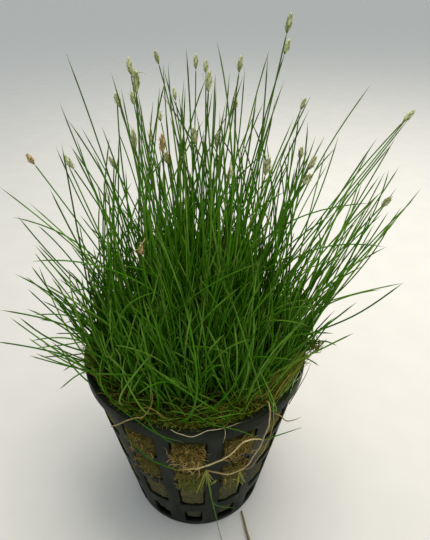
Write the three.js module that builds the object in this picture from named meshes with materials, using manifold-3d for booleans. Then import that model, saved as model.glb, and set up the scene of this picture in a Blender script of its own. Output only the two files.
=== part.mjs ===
// Potted dwarf hairgrass: a slotted net pot, the rockwool plug that fills it, a matted layer of old
// leaf bases and moss, thirty tufts of fine round blades with flower spikelets, and the roots and
// runners that come out through the pot. Millimetres, +Z up, and the origin is at the middle of the
// pot's underside. Bearings are degrees anticlockwise from +X, and the pot's front is at -90.
import * as THREE from 'three';
import { mergeVertices } from 'three/addons/utils/BufferGeometryUtils.js';
import Module from 'manifold-3d';

const wasm = await Module();
wasm.setup();

// Net pot
const POT_HEIGHT = 50;
const BASE_RADIUS = 18.2;
const WALL_TOP_RADIUS = 25.3;
const WALL = 0.9;
const FLOOR = 1.4;
const LIP_HEIGHT = 3;
const RIM_RADIUS = 26;
const BASE_BEVEL = 0.7;
const FACETS = 28;
const FRONT = -90;

// Windows in the pot's wall, lowest row first, as heights and widths in degrees of the wall
const WINDOW_COLUMNS = 14;
const FIRST_COLUMN = -92;
const WINDOW_ROWS = [
  { bottom: 2.6, top: 9.2, span: 13.4 },
  { bottom: 13.4, top: 22.2, span: 17.1 },
  { bottom: 25, top: 33.6, span: 17.1 },
  { bottom: 36.2, top: 45, span: 17.8 },
];
const WINDOW_CUT = 3;

// Slots in the pot's floor
const FLOOR_SLOTS = 7;
const SLOT_INNER_RADIUS = 7;
const SLOT_OUTER_RADIUS = 14;
const SLOT_SPAN = 22;
const SLOT_CUT = 1;

// Rockwool plug
const GAP = 0.35;
const SLIVER = 0.04;
const PLUG_TOP = 41;
const PLUG_BEVEL = 1.6;
const PLUG_FOOT_BEVEL = 0.6;

// Matted layer on the plug, with moss cushions round its edge
const MAT_TOP = 46;
const MAT_SHOULDER = 45;
const MAT_FLAT_RADIUS = 21.4;
const MAT_SIDES = 24;
const MAT_INSET = 0.5;
const CUSHION_HEIGHT = 1.7;
const CUSHION_DIP = 0.3;
const CUSHION_WIDTH = 1;

// Tufts: where they root, and how much of the pot each crown takes
const ROOT_RADIUS = 21;
const CROWN_BASE = MAT_TOP + GAP;
const CROWN_HEIGHT = 1.8;
const CROWN_RADIUS = 2.6;
const CROWN_TOP_RADIUS = 2.3;
const CROWN_SIDES = 6;
const ROOT_Z = CROWN_BASE + 0.6;
const ROOTS_RADIUS = 2;
const GOLDEN_TURN = 137.5;

// Fountain that the blades follow: how far they lean at the edge of the pot, and how they part
const FOUNTAIN_STEPS = 8;
const LEAN_AT_ROOT = 28;
const LEAN_GAINED = 26;
const LEAN_LENGTH = 60;
const SHARE_WIDENING = 0.45;
const EASE = 0.8;
const TURN_AT_ROOT = 0.3;

// Blades, sheaves of blades, and flower stalks with their spikelets
const BLADE_RADIUS = 0.4;
const BLADE_ROOT_RADIUS = 0.32;
const BLADE_TAPER = 0.4;
const BLADE_SIDES = 3;
const BLADE_CLEARANCE = 0.75;
const SHEAF_RADIUS = 0.85;
const SHEAF_CLEARANCE = 1.05;
const STALK_RADIUS = 0.32;
const SPIKELET_RADIUS = 0.7;
const SPIKELET_LENGTH = 3;
const SPIKELET_WIDEST = 0.6;
const SPIKELET_CLEARANCE = 1.1;

// How each tuft is filled: its sheaves of blades, and the search for roots that keep blades apart
const SHEAVES = 5;
const SHEAF_LENGTHS = [21, 38];
const TALL_SHEAF_LENGTHS = [40, 56];
const TALL_SHEAF_SHORTENING = 0.42;
const OUTERMOST_SHEAF = 0.95;
const FRONT_TUFTS = 70;
const FRONT_CROWN = 0.5;
const FRONT_SHEAF_SCALE = 0.62;
const TRIES = 40;
const FREE_GAP = 1.9;
const GAP_STEP = 1.5;
const SEED = 2380;

// Rings of tufts, as the spread of each ring's two edges and of its crowns (0 in the middle of the
// pot, 1 at its edge)
const TUFT_RINGS = [
  { inner: 0, outer: 0.16, crown: 0, count: 1 },
  { inner: 0.16, outer: 0.44, crown: 0.31, count: 6 },
  { inner: 0.44, outer: 0.74, crown: 0.6, count: 10 },
  { inner: 0.74, outer: 1.2, crown: 0.87, count: 13 },
];

// Flower stalks, each by the bearing and the spread of its tip and its length
const STALKS = [
  [164, 0.67, 50], [146, 0.29, 58], [124, 0.36, 64], [116, 0.51, 63], [-126, 0.18, 64],
  [107, 0.46, 66], [117, 0.55, 58], [-130, 0.22, 56], [107, 0.56, 53], [-112, 0.18, 55],
  [121, 0.22, 46], [90, 0.45, 65], [83, 0.3, 63], [10, 0.05, 62], [100, 0.5, 58],
  [180, 0.43, 50], [150, 0.4, 46], [-85, 0.17, 56], [96, 0.63, 42], [111, 0.62, 48],
  [48, 0.2, 64], [30, 0.27, 70], [33, 0.3, 66], [40, 0.51, 58], [13, 0.7, 62],
  [-38, 0.29, 52], [24, 0.45, 49], [0, 0.42, 50], [67, 0.37, 56], [64, 0.2, 50],
  [5, 0.15, 46], [-26, 0.41, 50], [0, 0.77, 46], [-110, 0.44, 42],
];

// Long blades that stand out of the mass, in the same terms
const LONG_BLADES = [
  [157, 0.36, 66], [159, 0.45, 58], [180, 0.36, 56], [161, 0.55, 50], [-151, 0.36, 54],
  [142, 0.58, 52], [180, 0.27, 54], [140, 0.61, 46], [131, 0.49, 50], [-136, 0.22, 64],
  [104, 0.47, 63], [-109, 0.16, 60], [53, 0.37, 66], [62, 0.34, 62], [28, 0.64, 64],
  [23, 0.82, 62], [-19, 0.51, 58], [0, 0.62, 56], [32, 0.69, 52], [21, 0.51, 52],
  [-29, 0.33, 60], [24, 0.4, 59], [42, 0.94, 44], [-44, 0.22, 62], [52, 0.44, 54],
  [180, 0.72, 47], [-156, 0.48, 48], [159, 0.67, 34], [176, 0.59, 34], [178, 0.78, 40],
  [-160, 0.67, 38], [-161, 0.76, 34], [-163, 0.86, 33], [-139, 0.71, 37], [-148, 0.94, 33],
  [-145, 0.91, 31], [-147, 1.1, 28], [-30, 0.89, 40], [-16, 0.81, 40], [3, 0.89, 35],
  [13, 0.97, 39], [-17, 0.63, 50], [14, 0.87, 44], [17, 0.75, 42], [20, 0.71, 34],
  [-35, 0.84, 34], [-38, 0.95, 29],
];

// Blades that droop over the rim, each by the bearing, reach and height of its tip, and the bend that
// they make above the rim: its share of their turn, its radius and its two heights
const DROOPING_BLADES = [
  [-150, 32, 50.5], [-158, 30.5, 51], [172, 33, 51], [70, 32, 51], [115, 33, 50.5],
];
const BEND_TURN = 0.8;
const BEND_RADIUS = 23.4;
const BEND_START = 51.4;
const BEND_TOP = 52.6;

// Windows that roots have grown out of, as column and row, with how far they bulge
const ROOT_MATS = {
  root_mat_front_upper: { column: 0, row: 3, bulge: 1.5 },
  root_mat_front_lower: { column: 0, row: 2, bulge: 1.1 },
  root_mat_right_upper: { column: 1, row: 3, bulge: 1.2 },
  root_mat_right_lower: { column: 1, row: 2, bulge: 1 },
  root_mat_left_upper: { column: 13, row: 3, bulge: 1.1 },
  root_mat_left_lower: { column: 13, row: 2, bulge: 0.9 },
};
const MAT_NECK_INSET = 0.75;
const MAT_NECK_OUTSET = 0.8;
const MAT_LAP = { side: 1.6, bottom: 0.9, top: 0.4 };
const MAT_RIDGES = [-0.8, -0.25, 0.3, 0.85];
const MAT_EDGE_FULLNESS = 0.55;
const MAT_ROUGHNESS = 0.3;

// Runners and shoots on the outside of the pot, as bearing, distance from the wall and height
const RUNNER_RADIUS = 0.34;
const SHOOT_RADIUS = 0.28;
const FRONT_RUNNER = [
  [-96.4, 2.5, 38.4], [-87.9, 2.5, 39.7], [-80.2, 2.4, 41], [-73.5, 2.4, 43.4], [-68.6, 2.3, 46.6],
];
const FRONT_RUNNER_BLADE = [
  [-96.4, 2.5, 38.4], [-103.7, 2.3, 39.4], [-109.5, 2.2, 40.7], [-115.8, 2.2, 44.4], [-119.6, 2.1, 47.3],
];
const RIGHT_RUNNER = [
  [-84, 2.4, 38.2], [-78.8, 2.3, 36.2], [-72.2, 2.3, 33.9], [-64.5, 2.3, 34.6], [-60, 2.3, 39],
  [-58.1, 2.3, 43.5], [-57.5, 2.3, 48.3], [-55.5, 1.3, 50.9], [-53, -0.4, 51.4],
];
const RIGHT_RUNNER_BLADE = [[-58.1, 2.3, 43.5], [-50.1, 3.9, 44.4], [-43.2, 5.9, 45.3]];
const PLANTLETS = [
  { root: [-84, 2.4, 38.2], tips: [[-85.6, 2.6, 30.1], [-81, 2.6, 32.1]] },
  { root: [-68.3, 2.3, 34], tips: [[-70.2, 2.6, 30.7], [-67.4, 2.6, 28.2], [-64, 2.6, 28.4]] },
];
const LEFT_RUNNER = [
  [-111.5, -0.6, 51.3], [-114.3, 0.2, 51.3], [-117.3, 1.4, 51], [-120, 2, 50], [-122.6, 1.9, 48.5],
  [-130, 1.8, 44.2],
];
const RIM_ROOT_RADIUS = 0.22;
const RIM_ROOT = [
  [-98.5, 0.3, 50.65], [-96, 0.75, 50.5], [-93.6, 0.9, 50.3], [-90, 0.9, 49.6], [-86.8, 0.9, 50.3],
  [-83.4, 0.5, 50.7], [-79.7, 0.5, 50.7], [-75.8, 0.45, 50.7], [-71.8, 0.3, 50.7], [-68, 0.15, 50.7],
];

// The trailing blade and the stem on the table, as bearing, distance from the axis and height
const TRAILING_BLADE = [
  [-84, 26.4, 38.2], [-83.1, 25.4, 33], [-82.2, 24.8, 29.3], [-80.9, 23.4, 23.6], [-79.8, 22.7, 19.9],
  [-77.6, 21.7, 13.3], [-75.9, 21, 8.3], [-74.2, 20.9, 3], [-73.4, 22.2, 0.7], [-73.2, 25, 0.6],
  [-72.6, 31, 0.6],
];
const TABLE_STEM_RADIUS = 0.55;
const TABLE_STEM = [
  [-51, 19.2, 0.75], [-53.5, 21.2, 0.7], [-56.5, 23.8, 0.65], [-59, 27, 0.65], [-61.5, 31, 0.65],
];
const STRAND_TAPER = { pointed: 0.5, blunt: 0.2 };
const STRAND_SIDE = new THREE.Vector3(0.1, 0.2, 1);

const material = (color, roughness, metalness = 0) =>
  new THREE.MeshStandardMaterial({ color, roughness, metalness });
const POT_PLASTIC = material(0x363c3a, 0.5);
const ROCKWOOL = material(0x6e5a2c, 1);
const THATCH = material(0x5a5220, 0.95);
const LEAF = material(0x3c6e1e, 0.55);
const ROOT = material(0xa8895a, 0.85);
const DEAD_STEM = material(0x6b5236, 0.9);

const radians = THREE.MathUtils.degToRad;
const degrees = THREE.MathUtils.radToDeg;
const clamp = THREE.MathUtils.clamp;
const lerp = THREE.MathUtils.lerp;

/** A point at a bearing, a distance from the pot's axis and a height. */
function polar(bearing, radius, z) {
  const angle = radians(bearing);
  return new THREE.Vector3(radius * Math.cos(angle), radius * Math.sin(angle), z);
}

/** Difference of two bearings, from -180 to 180. */
function bearingGap(a, b) {
  return ((a - b + 540) % 360) - 180;
}

/** Repeatable random numbers from 0 to 1. */
function randomSource(seed) {
  let state = seed;
  return () => {
    state = (state + 0x6d2b79f5) | 0;
    let t = Math.imul(state ^ (state >>> 15), 1 | state);
    t = (t + Math.imul(t ^ (t >>> 7), 61 | t)) ^ t;
    return ((t ^ (t >>> 14)) >>> 0) / 4294967296;
  };
}

/** Outer radius of the pot's wall at a height. */
function wallRadius(z) {
  return lerp(BASE_RADIUS, WALL_TOP_RADIUS, z / (POT_HEIGHT - LIP_HEIGHT));
}

/** Largest radius that clears the inside of the pot at a height. */
function insideRadius(z) {
  return wallRadius(z) - WALL - GAP;
}

/** Points beside the pot's wall, from [bearing, distance from the wall, height]. */
function alongWall(rows) {
  return rows.map(([bearing, outset, z]) => polar(bearing, wallRadius(Math.min(z, POT_HEIGHT)) + outset, z));
}

/** Points from [bearing, distance from the axis, height]. */
function aroundAxis(rows) {
  return rows.map(([bearing, radius, z]) => polar(bearing, radius, z));
}

/** Geometry from corners and triangles. */
function fromCorners(corners, triangles) {
  const geometry = new THREE.BufferGeometry();
  const positions = corners.flatMap((corner) => corner.toArray());
  geometry.setAttribute('position', new THREE.Float32BufferAttribute(positions, 3));
  geometry.setIndex(triangles);
  return geometry;
}

/** A closed solid through rings of corners, each ring anticlockwise as seen from the last one. */
function ringSolid(rings) {
  const corners = rings.flat();
  const starts = [];
  let next = 0;
  for (const ring of rings) {
    starts.push(next);
    next += ring.length;
  }
  const triangles = [];
  const cap = (start, count, flipped) => {
    for (let i = 1; i < count - 1; i += 1) {
      triangles.push(...(flipped ? [start, start + i + 1, start + i] : [start, start + i, start + i + 1]));
    }
  };
  for (let k = 0; k < rings.length - 1; k += 1) {
    const low = starts[k];
    const high = starts[k + 1];
    const count = Math.max(rings[k].length, rings[k + 1].length);
    for (let i = 0; i < count; i += 1) {
      const j = (i + 1) % count;
      if (rings[k].length > 1) {
        triangles.push(low + i, low + j, rings[k + 1].length > 1 ? high + j : high);
      }
      if (rings[k + 1].length > 1) {
        triangles.push(rings[k].length > 1 ? low + i : low, high + j, high + i);
      }
    }
  }
  cap(0, rings[0].length, true);
  cap(starts[rings.length - 1], rings[rings.length - 1].length, false);
  return fromCorners(corners, triangles);
}

/** The solid of a closed geometry. */
function toSolid(geometry) {
  const bare = geometry.clone();
  bare.deleteAttribute('normal');
  bare.deleteAttribute('uv');
  const merged = mergeVertices(bare, 1e-5);
  const index = merged.index.array;
  const kept = [];
  for (let i = 0; i < index.length; i += 3) {
    const [a, b, c] = [index[i], index[i + 1], index[i + 2]];
    if (a !== b && b !== c && c !== a) {
      kept.push(a, b, c);
    }
  }
  const vertProperties = new Float32Array(merged.attributes.position.array);
  const triVerts = new Uint32Array(kept);
  return new wasm.Manifold(new wasm.Mesh({ numProp: 3, vertProperties, triVerts }));
}

/** The geometry of a solid, without the slivers that joins and cuts leave. */
function toGeometry(solid) {
  const mesh = solid.asOriginal().simplify(SLIVER).getMesh();
  const geometry = new THREE.BufferGeometry();
  geometry.setAttribute('position', new THREE.Float32BufferAttribute(mesh.vertProperties, 3));
  geometry.setIndex(new THREE.BufferAttribute(new Uint32Array(mesh.triVerts), 1));
  geometry.computeVertexNormals();
  return geometry;
}

/** One solid of many that touch. */
function joined(geometries) {
  return geometries.map(toSolid).reduce((whole, solid) => whole.add(solid));
}

/** A named mesh. */
function piece(name, geometry, finish) {
  const mesh = new THREE.Mesh(geometry, finish);
  mesh.name = name;
  return mesh;
}

/** A solid turned about the pot's axis, from [radius, height] points of its outline. */
function turned(outline, facets, startBearing) {
  const points = outline.map(([radius, z]) => new THREE.Vector2(radius, z));
  const geometry = new THREE.LatheGeometry(points, facets);
  geometry.rotateX(Math.PI / 2);
  geometry.rotateZ(radians(startBearing - FRONT));
  return geometry;
}

/** A tapering tube along points, with a flat start and a pointed or flat end. */
function tube(points, radii, sides, side) {
  const rings = points.map((point, k) => {
    if (radii[k] === 0) {
      return [point];
    }
    const before = points[Math.max(k - 1, 0)];
    const after = points[Math.min(k + 1, points.length - 1)];
    const along = after.clone().sub(before).normalize();
    const across = side.clone().sub(along.clone().multiplyScalar(side.dot(along))).normalize();
    const up = along.clone().cross(across);
    const ring = [];
    for (let i = 0; i < sides; i += 1) {
      const turn = (2 * Math.PI * i) / sides;
      const corner = point.clone();
      corner.addScaledVector(across, radii[k] * Math.cos(turn));
      corner.addScaledVector(up, radii[k] * Math.sin(turn));
      ring.push(corner);
    }
    return ring;
  });
  return ringSolid(rings);
}

/** A smooth strand through points, ending in a point or cut square. */
function strand(points, radius, steps, sides, ending) {
  const curve = new THREE.CatmullRomCurve3(points, false, 'centripetal');
  const path = curve.getPoints(steps);
  const radii = path.map((_, k) => radius * (1 - (STRAND_TAPER[ending] * k) / steps));
  if (ending === 'pointed') {
    radii[steps] = 0;
  }
  return tube(path, radii, sides, STRAND_SIDE);
}

/** A block between two bearings and two heights, from one radius to another at each height. */
function sector(bearing, span, bottom, top, innerRadius, outerRadius) {
  return ringSolid([bottom, top].map((z) => [
    polar(bearing - span / 2, innerRadius(z), z),
    polar(bearing - span / 2, outerRadius(z), z),
    polar(bearing + span / 2, outerRadius(z), z),
    polar(bearing + span / 2, innerRadius(z), z),
  ]));
}

/** A block that follows the wall: between two bearings and two heights, and two offsets from it. */
function wallBlock(bearing, span, bottom, top, inset, outset) {
  return sector(bearing, span, bottom, top, (z) => wallRadius(z) - inset, (z) => wallRadius(z) + outset);
}

/** Bearing of the middle of a window column. */
function columnBearing(column) {
  return FIRST_COLUMN + (column * 360) / WINDOW_COLUMNS;
}

/** The moulded pot: wall, lip and floor, cut by its windows and floor slots. */
function netPot() {
  const lipZ = POT_HEIGHT - LIP_HEIGHT;
  let pot = toSolid(turned([
    [0, 0],
    [BASE_RADIUS - BASE_BEVEL, 0],
    [wallRadius(BASE_BEVEL), BASE_BEVEL],
    [WALL_TOP_RADIUS, lipZ],
    [RIM_RADIUS, lipZ],
    [RIM_RADIUS, POT_HEIGHT],
    [wallRadius(POT_HEIGHT) - WALL, POT_HEIGHT],
    [wallRadius(FLOOR) - WALL, FLOOR],
    [0, FLOOR],
  ], FACETS, FIRST_COLUMN));
  for (let column = 0; column < WINDOW_COLUMNS; column += 1) {
    for (const { bottom, top, span } of WINDOW_ROWS) {
      const window = wallBlock(columnBearing(column), span, bottom, top, WINDOW_CUT, WINDOW_CUT);
      pot = pot.subtract(toSolid(window));
    }
  }
  for (let slot = 0; slot < FLOOR_SLOTS; slot += 1) {
    const bearing = (slot * 360) / FLOOR_SLOTS;
    const hole = sector(
      bearing, SLOT_SPAN, -SLOT_CUT, FLOOR + SLOT_CUT, () => SLOT_INNER_RADIUS, () => SLOT_OUTER_RADIUS);
    pot = pot.subtract(toSolid(hole));
  }
  return toGeometry(pot);
}

/** The rockwool that fills the pot. */
function rockwoolPlug() {
  const bottom = FLOOR + GAP;
  const foot = bottom + PLUG_FOOT_BEVEL;
  const shoulder = PLUG_TOP - PLUG_BEVEL;
  return toGeometry(toSolid(turned([
    [0, bottom],
    [insideRadius(bottom) - PLUG_FOOT_BEVEL, bottom],
    [insideRadius(foot), foot],
    [insideRadius(shoulder), shoulder],
    [insideRadius(PLUG_TOP) - PLUG_BEVEL, PLUG_TOP],
    [0, PLUG_TOP],
  ], MAT_SIDES, FRONT)));
}

/** The matted layer of old leaf bases on the plug, with moss cushions along its edge. */
function thatchMat() {
  const bottom = PLUG_TOP + GAP;
  const random = randomSource(SEED);
  const rings = [[], [], [], [], []];
  for (let i = 0; i < MAT_SIDES; i += 1) {
    const bearing = FRONT + (i * 360) / MAT_SIDES;
    const cushion = i % 2 === 0 ? CUSHION_HEIGHT * lerp(0.5, 1, random()) : CUSHION_DIP * random();
    rings[0].push(polar(bearing, insideRadius(bottom) - MAT_INSET, bottom));
    rings[1].push(polar(bearing, insideRadius(MAT_SHOULDER), MAT_SHOULDER));
    rings[2].push(polar(bearing, insideRadius(MAT_TOP) - MAT_INSET, MAT_TOP + cushion / 2));
    rings[3].push(polar(bearing, MAT_FLAT_RADIUS + CUSHION_WIDTH, MAT_TOP + cushion));
    rings[4].push(polar(bearing, MAT_FLAT_RADIUS, MAT_TOP));
  }
  return ringSolid(rings);
}

/** Where a blade is after a length, if it follows the fountain at a bearing and a spread. */
function fountain(bearing, spread, length) {
  const step = length / FOUNTAIN_STEPS;
  let radius = ROOT_RADIUS * spread;
  let z = ROOT_Z;
  for (let k = 0; k < FOUNTAIN_STEPS; k += 1) {
    const lean = radians(spread * (LEAN_AT_ROOT + (LEAN_GAINED * (k + 0.5) * step) / LEAN_LENGTH));
    radius += Math.sin(lean) * step;
    z += Math.cos(lean) * step;
  }
  return polar(bearing, radius, z);
}

/** Keeps a bearing and a spread inside a tuft's share of the fountain, clear of the next tufts. */
function insideShare(tuft, turn, spread, length, clearance) {
  const across = ROOT_RADIUS + SHARE_WIDENING * length;
  const radial = clearance / across;
  const middle = tuft.inner === 0;
  const kept = clamp(spread, middle ? 0 : tuft.inner + radial, tuft.outer - radial);
  if (middle) {
    return [turn, kept];
  }
  const limit = tuft.halfTurn - degrees(clearance / Math.max(kept * across, 1));
  return [clamp(turn, -limit, limit), kept];
}

/** Centreline of a blade from its root to the bearing and spread of its tip. */
function bladePath(tuft, { bearing, spread, length }, root, steps, tipClearance) {
  const turn = bearingGap(bearing, tuft.bearing);
  const points = [root];
  for (let k = 1; k <= steps; k += 1) {
    const t = k / steps;
    const eased = t ** EASE;
    const clearance = lerp(BLADE_CLEARANCE, tipClearance, t);
    const turnHere = turn * lerp(TURN_AT_ROOT, 1, eased);
    const spreadHere = lerp(tuft.crown, spread, eased);
    const [keptTurn, keptSpread] = insideShare(tuft, turnHere, spreadHere, t * length, clearance);
    points.push(fountain(tuft.bearing + keptTurn, keptSpread, t * length));
  }
  return points;
}

/** Centreline of a blade that rises out of its crown and droops over the rim. */
function droopingPath(tuft, { bearing, reach, height }, root) {
  const turn = bearingGap(bearing, tuft.bearing);
  return [
    root,
    polar(tuft.bearing + BEND_TURN * turn, BEND_RADIUS, BEND_START),
    polar(bearing, (BEND_RADIUS + reach) / 2, BEND_TOP),
    polar(bearing, reach, height),
  ];
}

/** Centreline of one blade, sheaf or stalk from a root. */
function pathOf(tuft, one, root) {
  if (one.kind === 'drooping') {
    return droopingPath(tuft, one, root);
  }
  if (one.kind === 'stalk') {
    return bladePath(tuft, one, root, 3, SPIKELET_CLEARANCE);
  }
  const clearance = one.kind === 'sheaf' ? SHEAF_CLEARANCE : BLADE_CLEARANCE;
  return bladePath(tuft, one, root, one.length < SHEAF_LENGTHS[1] ? 2 : 3, clearance);
}

/** A blade or a sheaf of them, thin at its root and tapering to a point. */
function blade(path, bearing, radius) {
  const last = path.length - 1;
  const radii = path.map((_, k) => radius * (1 - BLADE_TAPER * (k / last) ** 2));
  radii[0] = BLADE_ROOT_RADIUS;
  radii[last] = 0;
  return tube(path, radii, BLADE_SIDES, polar(bearing + 90, 1, 0));
}

/** A flower stalk that ends in an egg-shaped spikelet. */
function stalk(path, bearing) {
  const last = path.length - 1;
  const along = path[last].clone().sub(path[last - 1]).normalize();
  const below = (part) => path[last].clone().addScaledVector(along, -part * SPIKELET_LENGTH);
  const points = [...path.slice(0, last), below(1), below(SPIKELET_WIDEST), below(0)];
  const radii = points.map(() => STALK_RADIUS);
  radii[0] = BLADE_ROOT_RADIUS;
  radii[last + 1] = SPIKELET_RADIUS;
  radii[last + 2] = 0;
  return tube(points, radii, BLADE_SIDES, polar(bearing + 90, 1, 0));
}

/** The stalk, blade or sheaf that grows along a path. */
function grown(one, path) {
  if (one.kind === 'stalk') {
    return stalk(path, one.bearing);
  }
  return blade(path, one.bearing, one.kind === 'sheaf' ? SHEAF_RADIUS : BLADE_RADIUS);
}

/** The tufts, ring by ring, each with its share of the fountain. */
function plantTufts() {
  const tufts = [];
  TUFT_RINGS.forEach(({ inner, outer, crown, count }, ring) => {
    for (let i = 0; i < count; i += 1) {
      const bearing = FRONT + (360 * (i + 0.5 * (ring % 2))) / count;
      tufts.push({ inner, outer, crown, bearing, halfTurn: 180 / count, blades: [] });
    }
  });
  return tufts;
}

/** The tuft whose share holds a bearing and a spread. */
function tuftAt(tufts, bearing, spread) {
  return tufts.find((tuft) => spread >= tuft.inner && spread < tuft.outer
    && Math.abs(bearingGap(bearing, tuft.bearing)) <= tuft.halfTurn);
}

/** Gives every tuft the stalks and blades that stand out. */
function shareOut(tufts) {
  for (const [bearing, spread, length] of STALKS) {
    tuftAt(tufts, bearing, spread).blades.push({ kind: 'stalk', bearing, spread, length });
  }
  for (const [bearing, spread, length] of LONG_BLADES) {
    tuftAt(tufts, bearing, spread).blades.push({ kind: 'blade', bearing, spread, length });
  }
  for (const [bearing, reach, height] of DROOPING_BLADES) {
    tuftAt(tufts, bearing, 1).blades.push({ kind: 'drooping', bearing, reach, height });
  }
}

/** Places for a tuft's roots, spread evenly over its crown. */
function rootPlaces(tuft, count) {
  const centre = polar(tuft.bearing, ROOT_RADIUS * tuft.crown, ROOT_Z);
  const places = [];
  for (let i = 0; i < count; i += 1) {
    const radius = ROOTS_RADIUS * Math.sqrt((i + 0.5) / count);
    places.push(polar(tuft.bearing + GOLDEN_TURN * i, radius, 0).add(centre));
  }
  return places;
}

/** Where a path passes a height. */
function passing(path, z) {
  const k = Math.max(path.findIndex((point) => point.z >= z), 1);
  const t = (z - path[k - 1].z) / (path[k].z - path[k - 1].z);
  return path[k - 1].clone().lerp(path[k], t);
}

/** Least distance between two paths at the same height. */
function pathGap(a, b) {
  const top = Math.min(a[a.length - 1].z, b[b.length - 1].z);
  let least = Infinity;
  for (let z = ROOT_Z + 0.1; z < top; z += GAP_STEP) {
    least = Math.min(least, passing(a, z).distanceTo(passing(b, z)));
  }
  return least;
}

/** A sheaf of blades of a length, somewhere in a tuft's share. */
function someSheaf(tuft, length, random) {
  const bearing = tuft.bearing + tuft.halfTurn * (2 * random() - 1);
  const spread = lerp(tuft.inner, Math.min(tuft.outer, OUTERMOST_SHEAF), random());
  return { kind: 'sheaf', bearing, spread, length };
}

/** A sheaf's length: tall ones shorten towards the pot's edge, and none hangs over the front rim. */
function sheafLength(tuft, tall, random) {
  const [shortest, longest] = tall ? TALL_SHEAF_LENGTHS : SHEAF_LENGTHS;
  const front = tuft.crown > FRONT_CROWN && Math.abs(bearingGap(tuft.bearing, FRONT)) < FRONT_TUFTS;
  const scale = (tall ? 1 - TALL_SHEAF_SHORTENING * tuft.crown : 1) * (front ? FRONT_SHEAF_SCALE : 1);
  return scale * lerp(shortest, longest, random());
}

/** Roots every blade of a tuft where its path comes least close to the ones before it. */
function growTuft(tuft, random) {
  const count = tuft.blades.length + SHEAVES;
  const free = rootPlaces(tuft, count);
  const chosen = [];
  for (let k = 0; k < count; k += 1) {
    const fixed = tuft.blades[k];
    const length = sheafLength(tuft, k === tuft.blades.length, random);
    let best = { gap: -1 };
    for (let i = 0; i < TRIES && best.gap < FREE_GAP; i += 1) {
      const one = fixed ?? someSheaf(tuft, length, random);
      const place = i % free.length;
      const path = pathOf(tuft, one, free[place]);
      const gap = Math.min(FREE_GAP, ...chosen.map((other) => pathGap(path, other.path)));
      if (gap > best.gap) {
        best = { gap, one, path, place };
      }
    }
    free.splice(best.place, 1);
    chosen.push(best);
  }
  return chosen.map(({ one, path }) => grown(one, path));
}

/** The low crown that a tuft's blades grow from. */
function crownOf(tuft) {
  const centre = polar(tuft.bearing, ROOT_RADIUS * tuft.crown, 0);
  const levels = [[CROWN_RADIUS, CROWN_BASE], [CROWN_TOP_RADIUS, CROWN_BASE + CROWN_HEIGHT]];
  return ringSolid(levels.map(([radius, z]) => {
    const ring = [];
    for (let i = 0; i < CROWN_SIDES; i += 1) {
      ring.push(polar(tuft.bearing + (360 * i) / CROWN_SIDES, radius, z).add(centre));
    }
    return ring;
  }));
}

/** All tufts: each crown with its blades and stalks, grown into one solid. */
function grassTufts() {
  const tufts = plantTufts();
  const random = randomSource(SEED);
  shareOut(tufts);
  return tufts.map((tuft, k) => {
    const name = `hairgrass_tuft_${String(k + 1).padStart(2, '0')}`;
    return piece(name, toGeometry(joined([crownOf(tuft), ...growTuft(tuft, random)])), LEAF);
  });
}

/** A pad of fine roots that fills a window and bulges out over the wall around it. */
function rootMat({ column, row, bulge }, random) {
  const bearing = columnBearing(column);
  const { bottom, top, span } = WINDOW_ROWS[row];
  const clear = degrees(GAP / wallRadius(bottom));
  const neck = wallBlock(
    bearing, span - 2 * clear, bottom + GAP, top - GAP, MAT_NECK_INSET, MAT_NECK_OUTSET);
  const half = span / 2 + MAT_LAP.side;
  const levels = [
    bottom - MAT_LAP.bottom,
    lerp(bottom, top, 0.25),
    lerp(bottom, top, 0.65),
    top + MAT_LAP.top,
  ];
  const rings = levels.map((z, k) => {
    const edge = k === 0 || k === levels.length - 1;
    const fullness = bulge * (edge ? MAT_EDGE_FULLNESS : 1);
    const backRadius = wallRadius(z) + GAP;
    const ridges = MAT_RIDGES.map((turn) => {
      const outset = fullness * (1 - MAT_ROUGHNESS * random());
      return polar(bearing + turn * half, backRadius + outset, z);
    });
    return [polar(bearing, backRadius, z), polar(bearing - half, backRadius, z), ...ridges,
      polar(bearing + half, backRadius, z)];
  });
  return toGeometry(joined([neck, ringSolid(rings)]));
}

/** The six pads of roots. */
function rootMats() {
  const random = randomSource(SEED + 1);
  return Object.entries(ROOT_MATS).map(([name, place]) => piece(name, rootMat(place, random), ROOT));
}

/** The pale runner across the front, with the blade that lies along the wall to its left. */
function frontRunner() {
  const runner = strand(alongWall(FRONT_RUNNER), RUNNER_RADIUS, 8, 5, 'blunt');
  const leaf = strand(alongWall(FRONT_RUNNER_BLADE), RUNNER_RADIUS, 7, 3, 'pointed');
  return toGeometry(joined([runner, leaf]));
}

/** The runner to the right rim, with its plantlets' shoots and the blade that trails to the table. */
function rightRunner() {
  const parts = [
    strand(alongWall(RIGHT_RUNNER), RUNNER_RADIUS, 16, 5, 'blunt'),
    strand(alongWall(RIGHT_RUNNER_BLADE), SHOOT_RADIUS, 3, 3, 'pointed'),
    strand(aroundAxis(TRAILING_BLADE), RUNNER_RADIUS, 14, 3, 'pointed'),
  ];
  for (const { root, tips } of PLANTLETS) {
    for (const tip of tips) {
      parts.push(strand(alongWall([root, tip]), SHOOT_RADIUS, 1, 3, 'pointed'));
    }
  }
  return toGeometry(joined(parts));
}

/** The thin runner that hangs over the rim at the left. */
function leftRunner() {
  return strand(alongWall(LEFT_RUNNER), SHOOT_RADIUS, 7, 4, 'blunt');
}

/** The root that lies on the front of the rim. */
function rimRoot() {
  return strand(alongWall(RIM_ROOT), RIM_ROOT_RADIUS, 12, 3, 'blunt');
}

/** The brown stem on the table at the pot's foot. */
function tableStem() {
  return strand(aroundAxis(TABLE_STEM), TABLE_STEM_RADIUS, 5, 5, 'blunt');
}

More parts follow.
